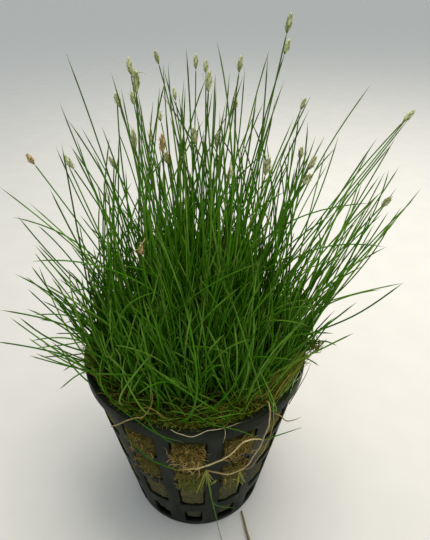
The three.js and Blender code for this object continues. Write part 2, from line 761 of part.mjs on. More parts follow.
const hairgrass = new THREE.Group();
hairgrass.add(piece('net_pot', netPot(), POT_PLASTIC));
hairgrass.add(piece('rockwool_plug', rockwoolPlug(), ROCKWOOL));
hairgrass.add(piece('thatch_mat', thatchMat(), THATCH));
hairgrass.add(...rootMats());
hairgrass.add(piece('runner_front', frontRunner(), ROOT));
hairgrass.add(piece('runner_right', rightRunner(), ROOT));
hairgrass.add(piece('runner_left', leftRunner(), ROOT));
hairgrass.add(piece('rim_root', rimRoot(), ROOT));
hairgrass.add(piece('table_stem', tableStem(), DEAD_STEM));
hairgrass.add(...grassTufts());

export default hairgrass;
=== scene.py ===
"""Potted dwarf hairgrass: a slotted net pot with its rockwool, moss and thatch, thirty tufts of fine
round blades with flower spikelets, and the roots and runners that come out through the pot.

Lengths are millimetres until a mesh is made, bearings are degrees anticlockwise from +X, and the
pot's front is at -90. Meshes are in metres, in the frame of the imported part.
"""

import logging
import math
from dataclasses import dataclass, field
from enum import Enum

import bpy
import numpy as np
from mathutils import Matrix, Vector, noise

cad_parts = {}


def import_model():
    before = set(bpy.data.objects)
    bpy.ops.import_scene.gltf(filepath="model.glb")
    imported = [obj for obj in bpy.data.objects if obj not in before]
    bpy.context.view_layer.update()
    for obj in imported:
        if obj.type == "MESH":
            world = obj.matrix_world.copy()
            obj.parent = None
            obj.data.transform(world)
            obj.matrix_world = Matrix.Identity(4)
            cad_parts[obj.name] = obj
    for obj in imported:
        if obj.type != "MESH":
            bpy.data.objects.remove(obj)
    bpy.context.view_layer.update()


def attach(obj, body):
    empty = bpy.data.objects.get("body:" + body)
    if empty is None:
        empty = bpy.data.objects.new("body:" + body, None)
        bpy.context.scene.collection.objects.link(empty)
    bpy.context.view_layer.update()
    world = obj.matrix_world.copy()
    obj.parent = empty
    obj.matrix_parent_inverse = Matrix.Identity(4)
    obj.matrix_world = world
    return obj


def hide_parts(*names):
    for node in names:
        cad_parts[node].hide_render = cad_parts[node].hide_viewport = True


LOG = logging.getLogger("hairgrass")
METRES = 0.001
FRONT = -90.0
GOLDEN_TURN = 137.5
SEED = 2380

# Steps of a smooth curve between two of the points that it goes through
ROUTE_STEPS = 12

# A direction that no strand sets out in, so that the first side of its tube can be laid across it
ASKEW = (0.13, 0.31, 0.94)

# Short names for the types that come up most. Fed is what a node's socket can be given.
Pair = tuple[float, float]
Row = tuple[float, float, float]
Rows = tuple[Row, ...]
Routes = tuple[Rows, ...]
Four = tuple[float, float, float, float]
Stops = tuple[tuple[float, Row], ...]
Chance = np.random.Generator
Points = np.ndarray
Face = tuple[int, ...]
Material = bpy.types.Material
Finishes = list[Material]
Socket = bpy.types.NodeSocket
Fed = Socket | Row | float

BLACK: Row = (0, 0, 0)
WHITE: Row = (1, 1, 1)

# Flower stalks, each by the bearing and the spread of its tip and its length
STALKS: Rows = (
    (146, 0.29, 58), (124, 0.36, 64), (116, 0.51, 63), (-126, 0.18, 64), (107, 0.46, 66),
    (117, 0.55, 58), (-130, 0.22, 56), (107, 0.56, 53), (121, 0.22, 46), (90, 0.45, 65),
    (83, 0.3, 63), (10, 0.05, 62), (100, 0.5, 58), (180, 0.43, 50), (150, 0.4, 46),
    (-85, 0.17, 56), (96, 0.63, 42), (111, 0.62, 48), (48, 0.2, 64), (30, 0.27, 71.6),
    (33, 0.3, 67.5), (40, 0.51, 58), (13, 0.7, 62), (-38, 0.29, 52), (24, 0.45, 49),
    (0, 0.42, 50), (67, 0.37, 56), (64, 0.2, 50), (5, 0.15, 46), (-26, 0.41, 50),
    (0, 0.77, 46),
)

# Stalks whose flower head has gone over and turned tan
RIPE_STALKS: Rows = ((164, 0.67, 50), (-112, 0.18, 55), (121, 0.22, 46), (-110, 0.44, 42))

# Long blades that stand out of the mass, in the same terms
LONG_BLADES: Rows = (
    (157, 0.36, 66), (159, 0.45, 58), (180, 0.36, 56), (161, 0.55, 50), (-151, 0.36, 54),
    (142, 0.58, 52), (180, 0.27, 54), (140, 0.61, 46), (131, 0.49, 50), (-136, 0.22, 64),
    (104, 0.47, 63), (-109, 0.16, 60), (53, 0.37, 66), (62, 0.34, 62), (28, 0.64, 64),
    (23, 0.82, 62), (-19, 0.51, 58), (0, 0.62, 56), (32, 0.69, 52), (21, 0.51, 52),
    (-29, 0.33, 60), (24, 0.4, 59), (42, 0.94, 44), (-44, 0.22, 62), (52, 0.44, 54),
    (180, 0.72, 47), (-156, 0.48, 48), (159, 0.67, 34), (176, 0.59, 34), (178, 0.78, 40),
    (-160, 0.67, 38), (-161, 0.76, 34), (-163, 0.86, 33), (-139, 0.71, 37), (-148, 0.94, 33),
    (-145, 0.91, 31), (-147, 1.1, 28), (-30, 0.89, 40), (-16, 0.81, 40), (3, 0.89, 35),
    (13, 0.97, 39), (-17, 0.63, 50), (14, 0.87, 44), (17, 0.75, 42), (20, 0.71, 34),
    (-35, 0.84, 34), (-38, 0.95, 29),
)

# Blades that droop over the rim, each by the bearing, reach and height of its tip
DROOPING_BLADES: Rows = (
    (-150, 32, 50.5), (-158, 30.5, 51), (172, 33, 51), (70, 32, 51), (115, 33, 50.5),
)

# Blades that lie over the lip, from root to tip, as bearing, distance from the wall and height
LYING_BLADES: Routes = (
    ((-152, -4.6, 47.2), (-141, -2, 50.9), (-130.8, -0.45, 51.3), (-123.6, -0.15, 51.3),
     (-118.2, 0.25, 51.3), (-113.6, 0.55, 51.3), (-105.4, 1.2, 50.3), (-99.4, 1.3, 49.1), (-93.6, 1.3, 48.3),
     (-92.4, 1.5, 47.3)),
    ((-118, -3.5, 47.2), (-111, -0.9, 51), (-105.4, 0.9, 50.6), (-101, 1.3, 48.9), (-96, 1.5, 46.9)),
    ((-92, -4, 47.2), (-89, -2, 51), (-83.9, -1.25, 51.3), (-80.1, -0.05, 51.3), (-71.7, 1.2, 50.4),
     (-66.1, 1.3, 47.6), (-59.6, 1.8, 44.3)),
)

# Blades that stand out in front, from root to tip, as the photo's column and row and the height
FRONT_BLADES: Routes = (
    ((235, 392, 47), (217, 378, 53.5), (190, 361, 60), (164, 346, 65)),
    ((217, 392, 47), (202, 380, 53), (185, 368, 58.5), (169, 358, 63)),
    ((222, 404, 47), (203, 396, 52), (180, 384, 57.5), (156, 371, 62)),
    ((137, 411, 47), (130, 406, 48.7), (129, 397, 51), (134, 388, 54.5), (144, 371, 60)),
    ((167, 409, 47), (156, 402, 49.5), (143, 400, 50.3), (130, 399, 50)),
    ((230, 404, 47), (240, 399, 50.5), (246, 405, 50.3), (249, 411, 49.5)),
    ((231, 410, 47), (211, 408, 49.6), (191, 411, 49.2)),
    ((218, 394, 47), (202, 404, 50.8), (186, 415, 50.3)),
    ((150, 412, 47), (151, 400, 51.5), (151, 384, 57), (148, 372, 61)),
    ((232, 400, 47), (236, 380, 55), (237, 352, 65), (234, 322, 75)),
    ((227, 401, 47), (226, 380, 54.5), (219, 352, 64), (206, 325, 74)),
    ((234, 401, 47), (247, 376, 56), (253, 344, 67), (254, 312, 77)),
    ((160, 405, 47), (157, 384, 54.5), (147, 352, 65), (139, 318, 75)),
    ((187, 398, 47), (184, 376, 55), (186, 343, 67), (192, 310, 78)),
    ((255, 398, 47), (266, 372, 56), (284, 343, 66), (306, 315, 75)),
    ((262, 396, 47), (285, 372, 55), (310, 345, 63)),
)

# Fine blades that bend over and up again inside the rim, in the same terms
HOOKED_BLADES: Routes = (
    ((262, 399, 47), (276, 411, 51.8), (274, 402, 54), (268, 388, 57), (257, 365, 62)),
    ((260, 400, 47), (274, 412, 51.6), (271, 401, 53.5), (265, 388, 57)),
    ((176, 415, 47), (170, 407, 50), (176, 398, 51.5), (188, 402, 50.5)),
    ((226, 414, 47), (234, 408, 50), (242, 410, 50), (248, 416, 48.8)),
    ((205, 416, 47), (213, 409, 49.6), (223, 407, 50), (232, 412, 49)),
)

# Runners and blades on the outside of the pot, as bearing, distance from the wall and height
FRONT_RUNNER: Rows = (
    (-96.4, 2.5, 38.4), (-87.9, 2.5, 39.7), (-80.2, 2.4, 41), (-73.5, 2.4, 43.4), (-68.6, 2.3, 46.6),
    (-63.5, 2.2, 46), (-58.4, 2.4, 43.7),
)
FRONT_RUNNER_BLADE: Rows = (
    (-96.4, 2.5, 38.4), (-103.7, 2.3, 39.4), (-109.5, 2.2, 40.7), (-115.8, 2.2, 44.4), (-119.6, 2.1, 47.3),
)
RIGHT_RUNNER: Rows = (
    (-84, 2.4, 38.2), (-78.8, 2.3, 36.2), (-72.2, 2.3, 33.9), (-64.5, 2.3, 34.6), (-60, 2.3, 39),
    (-58.1, 2.3, 43.5), (-57.5, 2.3, 48.3), (-55.5, 1.3, 50.9), (-53, -0.4, 51.4), (-51, -2.2, 49.8),
)
SECOND_STRAND: Rows = (
    (-66, 2.4, 33.9), (-61.3, 2.4, 33.4), (-56.7, 2.4, 36.8), (-54.6, 2.4, 41.4), (-54.3, 2.3, 46.8),
    (-53.5, 1.3, 50.8), (-50, -0.6, 51.2),
)
RIGHT_RUNNER_BLADE: Rows = ((-58.1, 2.3, 43.5), (-50.1, 3.9, 44.4), (-43.2, 5.9, 45.3))
LEFT_RUNNER: Rows = (
    (-111.7, -4.5, 54), (-111, -3.5, 51.6), (-111.5, -0.6, 51.3), (-114.3, 0.2, 51.3), (-117.3, 1.4, 51),
    (-120, 2, 50), (-122.6, 1.9, 48.5), (-130, 1.8, 44.2),
)
RIM_ROOT: Rows = (
    (-98.5, 0.3, 50.65), (-96, 0.75, 50.5), (-93.6, 0.9, 50.3), (-90, 0.9, 49.6), (-86.8, 0.9, 50.3),
    (-83.4, 0.5, 50.7), (-79.7, 0.5, 50.7), (-75.8, 0.45, 50.7), (-71.8, 0.3, 50.7), (-68, 0.15, 50.7),
)
INNER_ROOTS: Routes = (
    ((-21, 24.5, 49.6), (-24, 25.3, 50.1), (-32, 25.3, 50.1), (-38, 25.9, 50.1), (-40, 26.1, 49.6)),
    ((-23, 25, 50.1), (-26, 26, 50.1), (-30, 25.7, 50.1), (-35, 24.9, 50.1), (-37, 24.4, 48.6)),
    ((-27, 24.3, 49), (-31, 24.4, 48.2), (-35, 24.3, 47.6)),
    ((-30, 24.4, 49.4), (-33, 25.1, 50.1), (-40, 25, 50.1), (-47, 24.6, 49.6)),
)
SIDE_ROOT: Rows = (
    (-53.5, 1.6, 50.6), (-51.5, 2.4, 49.8), (-49.4, 3.4, 48.2), (-46.5, 4.4, 48.3), (-44, 5, 48.7),
)
HANGING_ROOT: Rows = ((-76, 0.5, 50.8), (-76.2, 1.3, 49.6), (-76.8, 1.4, 46.6))

# Plantlets on the right runner: where each sits, its number of shoots and the longest one's length
PLANTLETS: tuple[tuple[Row, int, float], ...] = (((-84, 2.4, 38.2), 7, 6.6), ((-67.5, 2.4, 34), 8, 5.4))

# Pads of roots: name, column and row of the window, how far it bulges, its fibres and rootlets, and
# the share of the fibres that is green
ROOT_MATS: tuple[tuple[str, int, int, float, int, int, float], ...] = (
    ("root_mat_front_upper", 0, 3, 1.5, 260, 46, 0.1),
    ("root_mat_front_lower", 0, 2, 1.1, 420, 0, 0.85),
    ("root_mat_right_upper", 1, 3, 1.2, 170, 16, 0.1),
    ("root_mat_right_lower", 1, 2, 1.0, 170, 3, 0.4),
    ("root_mat_left_upper", 13, 3, 0.9, 70, 0, 0.2),
    ("root_mat_left_lower", 13, 2, 0.7, 40, 0, 0.2),
)

# The trailing blade and the stem on the table, as bearing, distance from the axis and height. The
# loop and the bud beside the blade are columns and rows of the photo.
TRAILING_BLADE: Rows = (
    (-84, 26.4, 38.2), (-83.1, 25.4, 33), (-82.2, 24.8, 29.3), (-80.9, 23.4, 23.6), (-79.8, 22.7, 19.9),
    (-77.6, 21.7, 13.3), (-75.9, 21, 8.3), (-74.2, 20.9, 3), (-73.4, 22.2, 0.7), (-73.2, 25, 0.6),
    (-72.6, 31, 0.6),
)
TRAILING_LOOP: tuple[Pair, ...] = ((212, 501), (216, 505), (225, 507), (237, 508))
TRAILING_BUD: tuple[Pair, ...] = ((216, 480), (213, 483), (210, 485))
TABLE_STEM: Rows = (
    (-51, 19.2, 0.75), (-53.5, 21.2, 0.7), (-56.5, 23.8, 0.65), (-59, 27, 0.65), (-61.5, 31, 0.65),
)

# Moss cushions that stand up inside the rim: bearing, distance from the axis, width and height
CUSHIONS: tuple[Four, ...] = (
    (-62, 20.5, 3.4, 2.4), (-45, 21.8, 2.6, 1.5), (-118, 20.5, 3.0, 1.2),
    (-96, 22.5, 2.2, 0.9), (-78, 22, 2.2, 1.0),
)


@dataclass(frozen=True)
class Sheaf:
    """Long blades that root close together and part towards their tips.

    The root is its X and Y in the pot. The tip is a column and row of the photo, at a depth behind
    the middle of the pot.
    """

    root: Pair
    tip: Pair
    depth: float
    blades: int
    scatter: float
    early: float = 0.25


@dataclass(frozen=True)
class Clump:
    """Dead blades, roots and moss that lean out over the rim at one bearing."""

    bearing: float
    strands: int
    reach: float
    heights: Pair
    spread: float = 7.0


CLUMPS: tuple[Clump, ...] = (
    Clump(-12, 40, 3.0, (50.6, 53)),
    Clump(-163, 44, 3.4, (51, 54)),
    Clump(-101, 90, 1.5, (49.9, 51.0), 8.0),
    Clump(-74, 60, 1.3, (49.9, 50.8), 9.0),
    Clump(-126, 40, 1.5, (49.9, 51.0), 8.0),
)

SHEAVES: tuple[Sheaf, ...] = (
    Sheaf((0, 3), (192, 76), 12, 34, 6.5),
    Sheaf((-7, 3), (154, 72), 12, 23, 5.5),
    Sheaf((4, -1), (222, 80), 8, 22, 6.0),
    Sheaf((8, 4), (254, 100), 12, 20, 5.5),
    Sheaf((11, 2), (262, 150), 8, 16, 5.0),
    Sheaf((15, 4), (296, 130), 12, 16, 4.5),
    Sheaf((-20, -1), (112, 128), 2, 17, 3.0),
    Sheaf((-15, -4), (104, 170), -2, 12, 4.5),
    Sheaf((0, 2), (195, 92), 8, 18, 3.4),
    Sheaf((-6, 2), (147, 88), 8, 12, 3.6),
    Sheaf((22, 0), (386, 160), 10, 26, 4.2, 0.5),
    Sheaf((21, -1), (356, 210), 6, 18, 4.0, 0.46),
    Sheaf((22, -6), (346, 262), -2, 8, 3.6, 0.44),
    Sheaf((-11, 3), (112, 138), 10, 11, 4.5),
    Sheaf((-14, 5), (86, 126), 12, 7, 4.0),
    Sheaf((12, 7), (286, 132), 16, 9, 4.5),
    Sheaf((-18, 0), (32, 236), 2, 11, 4.0, 0.4),
    Sheaf((-19, -4), (54, 290), -2, 10, 3.6, 0.4),
    Sheaf((-21, -4), (26, 336), -4, 10, 2.4, 0.44),
    Sheaf((8, -16), (236, 266), -13, 20, 6.5),
    Sheaf((-9, -17), (146, 280), -14, 18, 6.5),
    Sheaf((-1, -17), (196, 262), -14, 18, 8.0),
    Sheaf((15, -12), (280, 280), -9, 14, 6.0),
    Sheaf((-16, -11), (110, 284), -9, 14, 6.0),
    Sheaf((2, -6), (182, 124), 2, 11, 8.0),
    Sheaf((-4, -8), (150, 170), -2, 10, 7.5),
    Sheaf((7, -7), (240, 168), -2, 10, 7.5),
)

# The sheaf of old straw that leans out over the rim at the right, as column, row and height
STRAW_SHEAF: Rows = ((262, 402, 47.5), (280, 380, 50.8), (298, 360, 53), (313, 345, 55))

# Openings between the blades through which the photo shows the background: column and row of the
# middle, half the width and half the height
OPENINGS: tuple[Four, ...] = (
    (128, 182, 9, 30), (90, 212, 11, 26), (311, 204, 9, 30), (332, 178, 9, 24), (350, 182, 11, 22),
    (171, 158, 7, 28), (229, 150, 5, 20), (172, 120, 5, 14),
)

# Single long blades: root X and Y, then the photo's column and row of the tip and its depth, then
# how far the middle bows to the right and up
SINGLE_BLADES: tuple[tuple[float, ...], ...] = (
    (3, 0, 226, 101, 8, -1.5, 0.5), (5, 2, 236, 89, 10, 1.5, 0.5), (13, 6, 337, 146, 14, -2, 2),
    (11, 5, 316, 135, 14, 2, -1), (-14, 2, 87, 225, 6, 3, 2), (-16, 0, 12, 217, 2, 4, 6),
    (-18, -3, 34, 315, -4, 1, 4), (-18, -7, 31, 341, -8, 0, 4), (18, -5, 319, 366, -8, 1, 2.5),
    (13, 4, 385, 247, 6, -3, 9), (10, 6, 372, 203, 10, -6, 8), (-10, -2, 66, 160, 4, -2, 2),
    (16, 3, 404, 283, 2, -1, 1), (8, 2, 268, 53, 12, 2, 0), (14, 8, 411, 116, 14, 2, -2),
    (-3, 4, 163, 66, 12, 3, 0), (9, 5, 300, 108, 14, 4, -1), (-9, 6, 117, 88, 14, -3, 1),
    (-5, -3, 205, 118, 4, -6, 0), (4, 1, 160, 92, 8, 7, 0), (8, 3, 215, 128, 8, 7, 1),
    (-8, 0, 170, 150, 4, -8, 1), (12, 2, 250, 118, 8, 6, 1), (0, 5, 268, 150, 12, -6, 2),
    (-12, 1, 132, 182, 4, -5, 3), (16, 0, 318, 228, 2, 6, 2), (6, 6, 288, 190, 12, -5, 4),
)


def polar(bearing: float, radius: float, height: float) -> Points:
    """A point by its bearing, its distance from the pot's axis and its height."""
    angle = math.radians(bearing)
    return np.array([radius * math.cos(angle), radius * math.sin(angle), height])


def ring(radius: float, height: float, count: int, start: float = 0) -> Points:
    """Evenly spaced points round the pot's axis, from a bearing on."""
    return np.array([polar(start + 360 * i / count, radius, height) for i in range(count)])


def rounding(centre: Pair, size: float, turns: Pair, steps: int) -> list[Pair]:
    """Radius and height of points along an edge that is rounded about a centre between two turns."""
    angles = [math.radians(turns[0] + (turns[1] - turns[0]) * k / steps) for k in range(1, steps + 1)]
    return [(centre[0] + size * math.cos(angle), centre[1] + size * math.sin(angle)) for angle in angles]


def unit(vector: Points) -> Points:
    """A vector's direction."""
    return vector / np.linalg.norm(vector)


def clamped(value: float) -> float:
    """A value kept between 0 and 1."""
    return min(1.0, max(0.0, value))


def some_tone(rng: Chance) -> float:
    """A tone from 0 to 1, most often near the middle."""
    return clamped(rng.normal(0.5, 0.24))


def pick(rng: Chance, finishes: tuple[int, ...], shares: tuple[float, ...]) -> int:
    """The number of one of the finishes, each as likely as its share."""
    return int(rng.choice(finishes, p=shares))


def bearing_gap(a: float, b: float) -> float:
    """The turn from bearing b to bearing a, from -180 to 180."""
    return (a - b + 540) % 360 - 180


def mix(a: float, b: float, t: float) -> float:
    """The value that lies a share t of the way from a to b."""
    return a + (b - a) * t


def smooth_route(points: list[Points], steps: int) -> Points:
    """A smooth curve through points.

    Args:
        points: The points, in order.
        steps: How many straight steps the curve is cut into.

    Returns:
        An array of steps + 1 points, about evenly spaced.
    """
    held = np.array([2 * points[0] - points[1], *points, 2 * points[-1] - points[-2]])
    dense = []
    for a, b, c, d in zip(held, held[1:], held[2:], held[3:]):
        for t in np.linspace(0, 1, ROUTE_STEPS, endpoint=False):
            bend = (2 * a - 5 * b + 4 * c - d) * t**2 + (3 * b - a - 3 * c + d) * t**3
            dense.append(0.5 * (2 * b + (c - a) * t + bend))
    dense.append(held[-2])
    line = np.array(dense)
    reach = np.concatenate([[0], np.cumsum(np.linalg.norm(np.diff(line, axis=0), axis=1))])
    wanted = np.linspace(0, reach[-1], steps + 1)
    return np.stack([np.interp(wanted, reach, line[:, axis]) for axis in range(3)], axis=1)


def route_about_axis(rows: Rows, steps: int) -> Points:
    """A smooth curve through points given by bearing, distance from the pot's axis and height."""
    return smooth_route([polar(*row) for row in rows], steps)


class Ending(Enum):
    """How a strand ends."""

    POINTED = "pointed"
    BLUNT = "blunt"


class NodeSketch:
    """A node material in the making, with short calls for the nodes that the finishes share."""

    def __init__(self, name: str, roughness: float, specular: float) -> None:
        """Starts a material.

        Args:
            name: The material's name.
            roughness: Roughness of its shader.
            specular: Specular level of its shader.
        """
        self.material = bpy.data.materials.new(name)
        self.material.use_nodes = True
        self.tree = self.material.node_tree
        self.shader = self.tree.nodes["Principled BSDF"]
        self.shader.inputs["Roughness"].default_value = roughness
        self.shader.inputs["Specular IOR Level"].default_value = specular

    def feed(self, socket: Socket, value: Fed) -> None:
        """Links a socket to another one, or sets it to a value or a colour."""
        if isinstance(value, Socket):
            self.tree.links.new(value, socket)
        elif socket.type == "RGBA":
            socket.default_value = (*value, 1)
        else:
            socket.default_value = value

    def node(self, kind: str, **values: Fed) -> bpy.types.Node:
        """Adds a node.

        Args:
            kind: Its type, without the ShaderNode prefix.
            values: Socket names, with _ for a space, and what each is fed.

        Returns:
            The new node.
        """
        made = self.tree.nodes.new("ShaderNode" + kind)
        for name, value in values.items():
            self.feed(made.inputs[name.replace("_", " ")], value)
        return made

    def place(self) -> Socket:
        """The place on the piece, in metres."""
        return self.node("TexCoord").outputs["Object"]

    def noise(self, scale: float, detail: float, stretch: Row = (1, 1, 1)) -> Socket:
        """Cloudy variation over the piece.

        Args:
            scale: Clouds in a metre.
            detail: How many finer layers are added.
            stretch: How much finer the clouds are along X, Y and Z.

        Returns:
            A value of about 0.2 to 0.8.
        """
        scaled = self.node("Mapping", Vector=self.place(), Scale=stretch)
        cloud = self.node("TexNoise", Vector=scaled.outputs["Vector"], Scale=scale, Detail=detail)
        return cloud.outputs["Fac"]

    def attribute(self, name: str) -> Socket:
        """A value that the mesh holds at each point."""
        made = self.node("Attribute")
        made.attribute_name = name
        return made.outputs["Fac"]

    def ramp(self, share: Socket, stops: Stops) -> Socket:
        """Colours along a value.

        Args:
            share: The value.
            stops: Where each colour stands on it, and the colour.

        Returns:
            The colour at that value.
        """
        made = self.node("ValToRGB", Fac=share)
        elements = made.color_ramp.elements
        while len(elements) < len(stops):
            elements.new(0.5)
        for element, (position, colour) in zip(elements, stops):
            element.position = position
            element.color = (*colour, 1)
        return made.outputs["Color"]

    def blend(self, share: Fed, first: Fed, second: Fed, way: str = "MIX") -> Socket:
        """Two colours mixed.

        Args:
            share: How much of the second one.
            first: The first colour.
            second: The second colour.
            way: Blender's name for the way of mixing.

        Returns:
            The mixed colour.
        """
        made = self.node("Mix")
        made.data_type = "RGBA"
        made.blend_type = way
        for name, value in (("Factor_Float", share), ("A_Color", first), ("B_Color", second)):
            self.feed(next(socket for socket in made.inputs if socket.identifier == name), value)
        return next(socket for socket in made.outputs if socket.identifier == "Result_Color")

    def height_share(self, low: float, high: float) -> Socket:
        """How far up a place is between two heights in millimetres, from 0 to 1."""
        parts = self.node("SeparateXYZ", Vector=self.place())
        span = {"From_Min": low * METRES, "From_Max": high * METRES}
        return self.node("MapRange", Value=parts.outputs["Z"], **span).outputs["Result"]

    def bump(self, height: Socket, strength: float, depth: float) -> None:
        """Gives the surface a relief, by how much of it shows and its full depth in metres."""
        made = self.node("Bump", Strength=strength, Distance=depth, Height=height)
        self.paint("Normal", made.outputs["Normal"])

    def paint(self, socket: str, value: Socket) -> None:
        """Links a value to one of the shader's sockets."""
        self.feed(self.shader.inputs[socket], value)


def grey(level: float) -> Row:
    """A grey of a level from 0 to 1."""
    return (level, level, level)


@dataclass(frozen=True)
class PotPlastic:
    """Dark moulded plastic, satin, with fine scratches, water marks and dust.

    A scale is clouds in a metre, and a depth is in metres, as in the finishes that follow.
    """

    roughness: float = 0.5
    specular: float = 0.08
    dark: Row = (0.004, 0.006, 0.003)
    pale: Row = (0.0115, 0.016, 0.0085)
    dust: Row = (0.034, 0.041, 0.025)
    dustiest: float = 0.45
    rubbed: float = 0.4
    dull: float = 0.62
    cloud_scale: float = 90
    mark_scale: float = 700
    wear_scale: float = 260
    grain_scale: float = 1500
    grain_depth: float = 0.00006

    def material(self) -> Material:
        """The plastic as a node material."""
        sketch = NodeSketch("pot_plastic", self.roughness, self.specular)
        colour = sketch.ramp(sketch.noise(self.cloud_scale, 5), ((0.35, self.dark), (0.7, self.pale)))
        marks = sketch.noise(self.mark_scale, 3, (1, 1, 0.25))
        dusty = sketch.ramp(marks, ((0.6, BLACK), (0.8, grey(self.dustiest))))
        sketch.paint("Base Color", sketch.blend(dusty, colour, self.dust))
        wear = sketch.noise(self.wear_scale, 4, (1, 1, 0.2))
        sketch.paint("Roughness", sketch.ramp(wear, ((0.3, grey(self.rubbed)), (0.7, grey(self.dull)))))
        sketch.bump(sketch.noise(self.grain_scale, 3, (1, 1, 0.3)), 0.25, self.grain_depth)
        return sketch.material


@dataclass(frozen=True)
class Rockwool:
    """Damp mineral wool: yellow-brown near the top, with olive patches where moss has got in, and darker
    olive grey towards the bottom.
    """

    name: str = "rockwool"
    roughness: float = 0.95
    specular: float = 0.1
    dark: Row = (0.050, 0.043, 0.013)
    middle: Row = (0.128, 0.107, 0.031)
    pale: Row = (0.212, 0.175, 0.058)
    moss: Row = (0.071, 0.077, 0.023)
    # The colour that the wool darkens to towards the bottom of the pot
    bottom_colour: Row = (0.054, 0.058, 0.036)
    full_colour_from: float = 41.0
    wool_scale: float = 900
    patch_scale: float = 120
    fibre_scale: float = 2600
    fibre_depth: float = 0.0006

    def material(self) -> Material:
        """The wool as a node material."""
        sketch = NodeSketch(self.name, self.roughness, self.specular)
        wool = sketch.noise(self.wool_scale, 6, (1, 1, 1.6))
        colour = sketch.ramp(wool, ((0.34, self.dark), (0.5, self.middle), (0.68, self.pale)))
        patches = sketch.ramp(sketch.noise(self.patch_scale, 3), ((0.45, BLACK), (0.65, WHITE)))
        colour = sketch.blend(patches, colour, sketch.blend(0.5, colour, self.moss))
        # Darker olive grey towards the bottom
        colour_share = sketch.ramp(sketch.height_share(0, self.full_colour_from), ((0.1, grey(0.1)), (0.85, WHITE)))
        sketch.paint("Base Color", sketch.blend(colour_share, self.bottom_colour, colour))
        sketch.bump(sketch.noise(self.fibre_scale, 5), 0.8, self.fibre_depth)
        return sketch.material


@dataclass(frozen=True)
class Thatch:
    """Matted old leaf bases and moss, olive to brown."""

    roughness: float = 0.95
    specular: float = 0.12
    dark: Row = (0.028, 0.027, 0.003)
    brown: Row = (0.085, 0.062, 0.009)
    olive: Row = (0.085, 0.105, 0.006)
    colour_scale: float = 1400
    strand_scale: float = 2200
    strand_depth: float = 0.0008

    def material(self) -> Material:
        """The mat as a node material."""
        sketch = NodeSketch("thatch", self.roughness, self.specular)
        fine = sketch.noise(self.colour_scale, 6)
        colour = sketch.ramp(fine, ((0.35, self.dark), (0.52, self.brown), (0.68, self.olive)))
        sketch.paint("Base Color", colour)
        sketch.bump(sketch.noise(self.strand_scale, 6), 0.9, self.strand_depth)
        return sketch.material


@dataclass(frozen=True)
class StrandFinish:
    """The finish of thin grown strands, whose colour runs along each one and differs between them."""

    name: str
    foot: Row
    low: Row
    high: Row
    tip: Row
    roughness: float
    specular: float
    streak_scale: float = 2500
    darker: float = 0.72
    lighter: float = 1.25

    def streaked(self, sketch: NodeSketch, body: Socket) -> Socket:
        """A strand's colour with long streaks, some darker and some lighter."""
        streaks = sketch.noise(self.streak_scale, 2, (1, 1, 0.12))
        shades = sketch.ramp(streaks, ((0.3, grey(self.darker)), (0.7, grey(self.lighter))))
        return sketch.blend(1.0, body, shades, "MULTIPLY")

    def body(self, sketch: NodeSketch) -> Socket:
        """The colour of a strand between its foot and its tip."""
        body = sketch.ramp(sketch.attribute("tone"), ((0.0, self.low), (1.0, self.high)))
        return self.streaked(sketch, body)

    def material(self) -> Material:
        """The finish as a node material."""
        sketch = NodeSketch(self.name, self.roughness, self.specular)
        along = sketch.attribute("along")
        near_foot = sketch.ramp(along, ((0.02, WHITE), (0.2, BLACK)))
        near_tip = sketch.ramp(along, ((0.85, BLACK), (1.0, WHITE)))
        colour = sketch.blend(near_foot, self.body(sketch), self.foot)
        sketch.paint("Base Color", sketch.blend(near_tip, colour, self.tip))
        return sketch.material


@dataclass(frozen=True)
class LeafFinish(StrandFinish):
    """The finish of the living blades: fresh green in the mass, made lighter higher up by painted light, and
    dark olive where they stand free, partly their own colour and partly painted shade.
    """

    darker: float = 0.8
    lighter: float = 1.2
    fresh: Row = (0.048, 0.172, 0.002)
    # Painted light: the blades' colour is made lighter with height, up to where they stand free
    painted_light: Row = (1.35, 1.3, 1.6)
    painted_light_from: float = 60.0
    # Dark olive where the blades stand free: partly their own colour and partly painted shade of their
    # shaded sides
    free_olive_and_shade: Row = (0.052, 0.098, 0.018)
    free_from: float = 84.0
    free_to: float = 106.0
    most_free: float = 0.8

    def body(self, sketch: NodeSketch) -> Socket:
        """The colour of a blade between its foot and its tip."""
        tone = sketch.attribute("tone")
        body = sketch.ramp(tone, ((0.0, self.low), (0.55, self.fresh), (1.0, self.high)))
        body = self.streaked(sketch, body)
        # Painted light: lighter higher up in the mass
        painted_light_share = sketch.height_share(self.painted_light_from, self.free_from)
        body = sketch.blend(1.0, body, sketch.ramp(painted_light_share, ((0, WHITE), (1, self.painted_light))), "MULTIPLY")
        # Dark olive higher up: partly the blades' own colour and partly painted shade
        olive_and_shade_share = sketch.height_share(self.free_from, self.free_to)
        return sketch.blend(sketch.ramp(olive_and_shade_share, ((0, BLACK), (1, grey(self.most_free)))), body, self.free_olive_and_shade)


@dataclass(frozen=True)
class TableTop:
    """The plain pale surface under the pot, with a faint grain."""

    roughness: float = 0.6
    specular: float = 0.15
    pale: Row = (0.75, 0.745, 0.74)
    dull: Row = (0.725, 0.72, 0.715)
    grain_scale: float = 60

    def material(self) -> Material:
        """The surface as a node material."""
        sketch = NodeSketch("table_top", self.roughness, self.specular)
        grain = sketch.noise(self.grain_scale, 4)
        sketch.paint("Base Color", sketch.ramp(grain, ((0.35, self.dull), (0.65, self.pale))))
        return sketch.material


